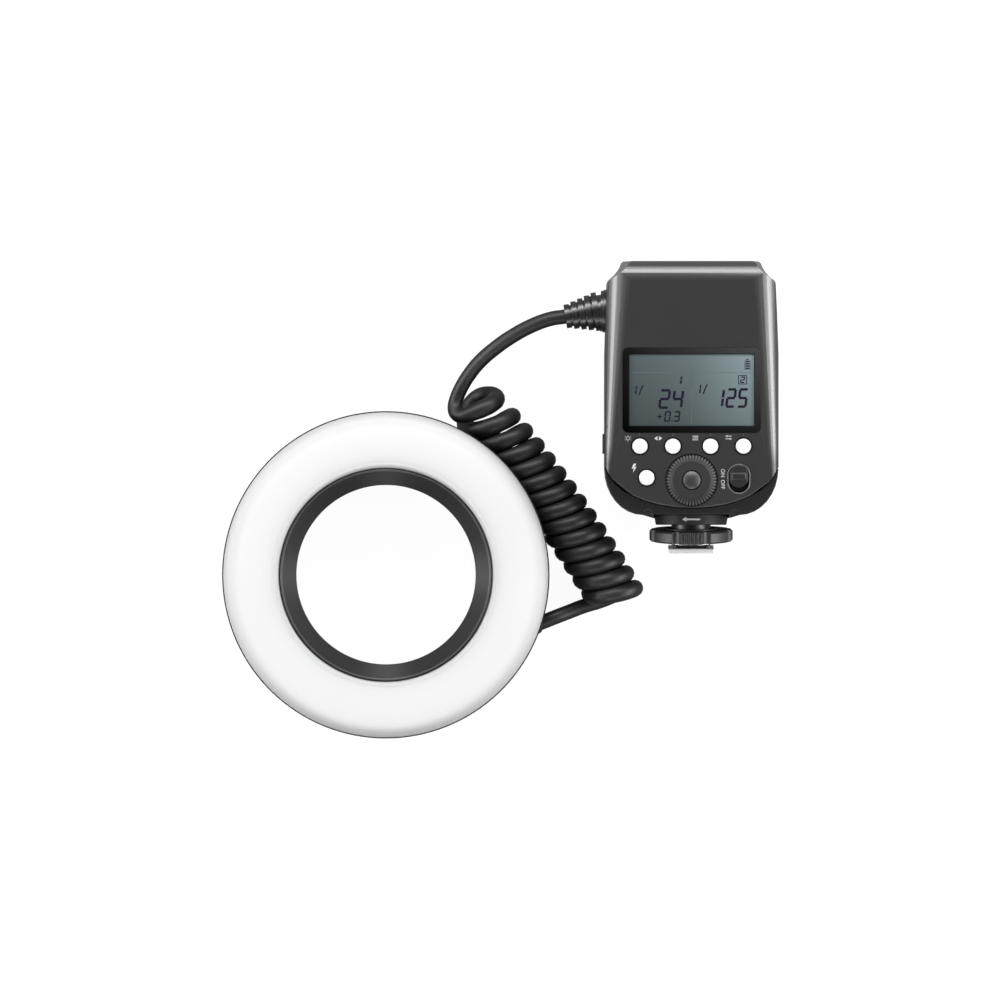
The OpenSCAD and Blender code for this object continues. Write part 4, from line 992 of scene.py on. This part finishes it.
class RINGFLASH_OT_foot(bpy.types.Operator):
    """Finishes the foot: collar, lock wheel, clamp, block, plate and pins"""

    bl_idname = "ringflash.foot"
    bl_label = "Foot"

    def execute(self, context):
        dressed("foot_collar", "collar")
        dressed("foot_spindle", "knob", 0.2)
        dressed("lock_wheel", "wheel", 0.22, body="lock_wheel")
        dressed("clamp_plate", "screw", 0.12, body="clamp_plate")
        dressed("foot_block", "skirt", 0.15)
        dressed("foot_plate", "foot", 0.25)
        dressed("lock_pin", "plate", 0.2, body="lock_pin")
        dressed("contact_pins", "gilt", 0.2, body="contact_pins")
        finished(self.arrow(), "lock_arrow", "flash", "mark", smooth=60)
        return {"FINISHED"}

    def arrow(self):
        """A plain arrow round the collar that points the way in which the wheel locks."""
        bm = bmesh.new()
        axis = UNIT + Vector((0, 0, 26)) * MM
        collar_r, taper, collar_end, collar_length, lift = 15.2, 0.8, 1.6, 4.3, 0.04

        def spot(turn, y):
            radius = collar_r - taper * (collar_end - y) / collar_length + lift
            a = math.radians(turn)
            return axis + Vector((-radius * math.sin(a), y, radius * math.cos(a))) * MM

        line = [bm.verts.new(spot(8, y)) for y in (-0.1, -0.75)]
        bmesh.ops.spin(
            bm, geom=line + [bm.edges.new(line)], cent=axis, axis=(0, 1, 0), angle=math.radians(22), steps=8
        )
        bm.faces.new([bm.verts.new(spot(turn, y)) for turn, y in ((14.5, -0.42), (8, 0.6), (8, -1.45))])
        return bm


class RINGFLASH_OT_inside(bpy.types.Operator):
    """Gives the pieces inside and the screws their finishes"""

    bl_idname = "ringflash.inside"
    bl_label = "Inside"

    def execute(self, context):
        painted("board", "lamp_board", "key_board", "main_board")
        painted("plate", "reflector_tray", "dial_encoder")
        painted("tube", "flash_tube_left", "flash_tube_right")
        painted("lamp", "tube_holders", "modelling_lamps")
        painted("screw", "ring_screws", "mount_screws", "body_screws", "key_switches", "transformer")
        painted("dome", "skirt_screws")
        painted("skirt", "switch_body", "battery_tray", "main_capacitor", "port_socket")
        painted("gilt", "battery_contacts")
        return {"FINISHED"}


class RINGFLASH_PT_panel(bpy.types.Panel):
    """Lists the pieces and their looks"""

    bl_idname = "RINGFLASH_PT_panel"
    bl_label = "Ring Flash"
    bl_space_type = "VIEW_3D"
    bl_region_type = "UI"
    bl_category = "Ring Flash"

    def draw(self, context):
        for group in (context.scene.flash_sizes, context.scene.flash_colours):
            for name in group.__annotations__:
                self.layout.prop(group, name)
        for step in STEPS:
            self.layout.operator(step.bl_idname)


STEPS = (
    RINGFLASH_OT_stage,
    RINGFLASH_OT_cord,
    RINGFLASH_OT_lamp_head,
    RINGFLASH_OT_body,
    RINGFLASH_OT_display,
    RINGFLASH_OT_keys,
    RINGFLASH_OT_dial,
    RINGFLASH_OT_power_switch,
    RINGFLASH_OT_foot,
    RINGFLASH_OT_inside,
)
CLASSES = (FlashSizes, FlashColours, *STEPS, RINGFLASH_PT_panel)


def register():
    """Adds the classes and the settings."""
    for item in CLASSES:
        bpy.utils.register_class(item)
    bpy.types.Scene.flash_sizes = bpy.props.PointerProperty(type=FlashSizes)
    bpy.types.Scene.flash_colours = bpy.props.PointerProperty(type=FlashColours)


def unregister():
    """Removes the settings and the classes."""
    del bpy.types.Scene.flash_colours
    del bpy.types.Scene.flash_sizes
    for item in reversed(CLASSES):
        bpy.utils.unregister_class(item)


def main():
    """Runs every step."""
    register()
    mix_finishes()
    bpy.ops.ringflash.stage()
    bpy.ops.ringflash.cord()
    bpy.ops.ringflash.lamp_head()
    bpy.ops.ringflash.body()
    bpy.ops.ringflash.display()
    bpy.ops.ringflash.keys()
    bpy.ops.ringflash.dial()
    bpy.ops.ringflash.power_switch()
    bpy.ops.ringflash.foot()
    bpy.ops.ringflash.inside()


if __name__ == "__main__":
    main()
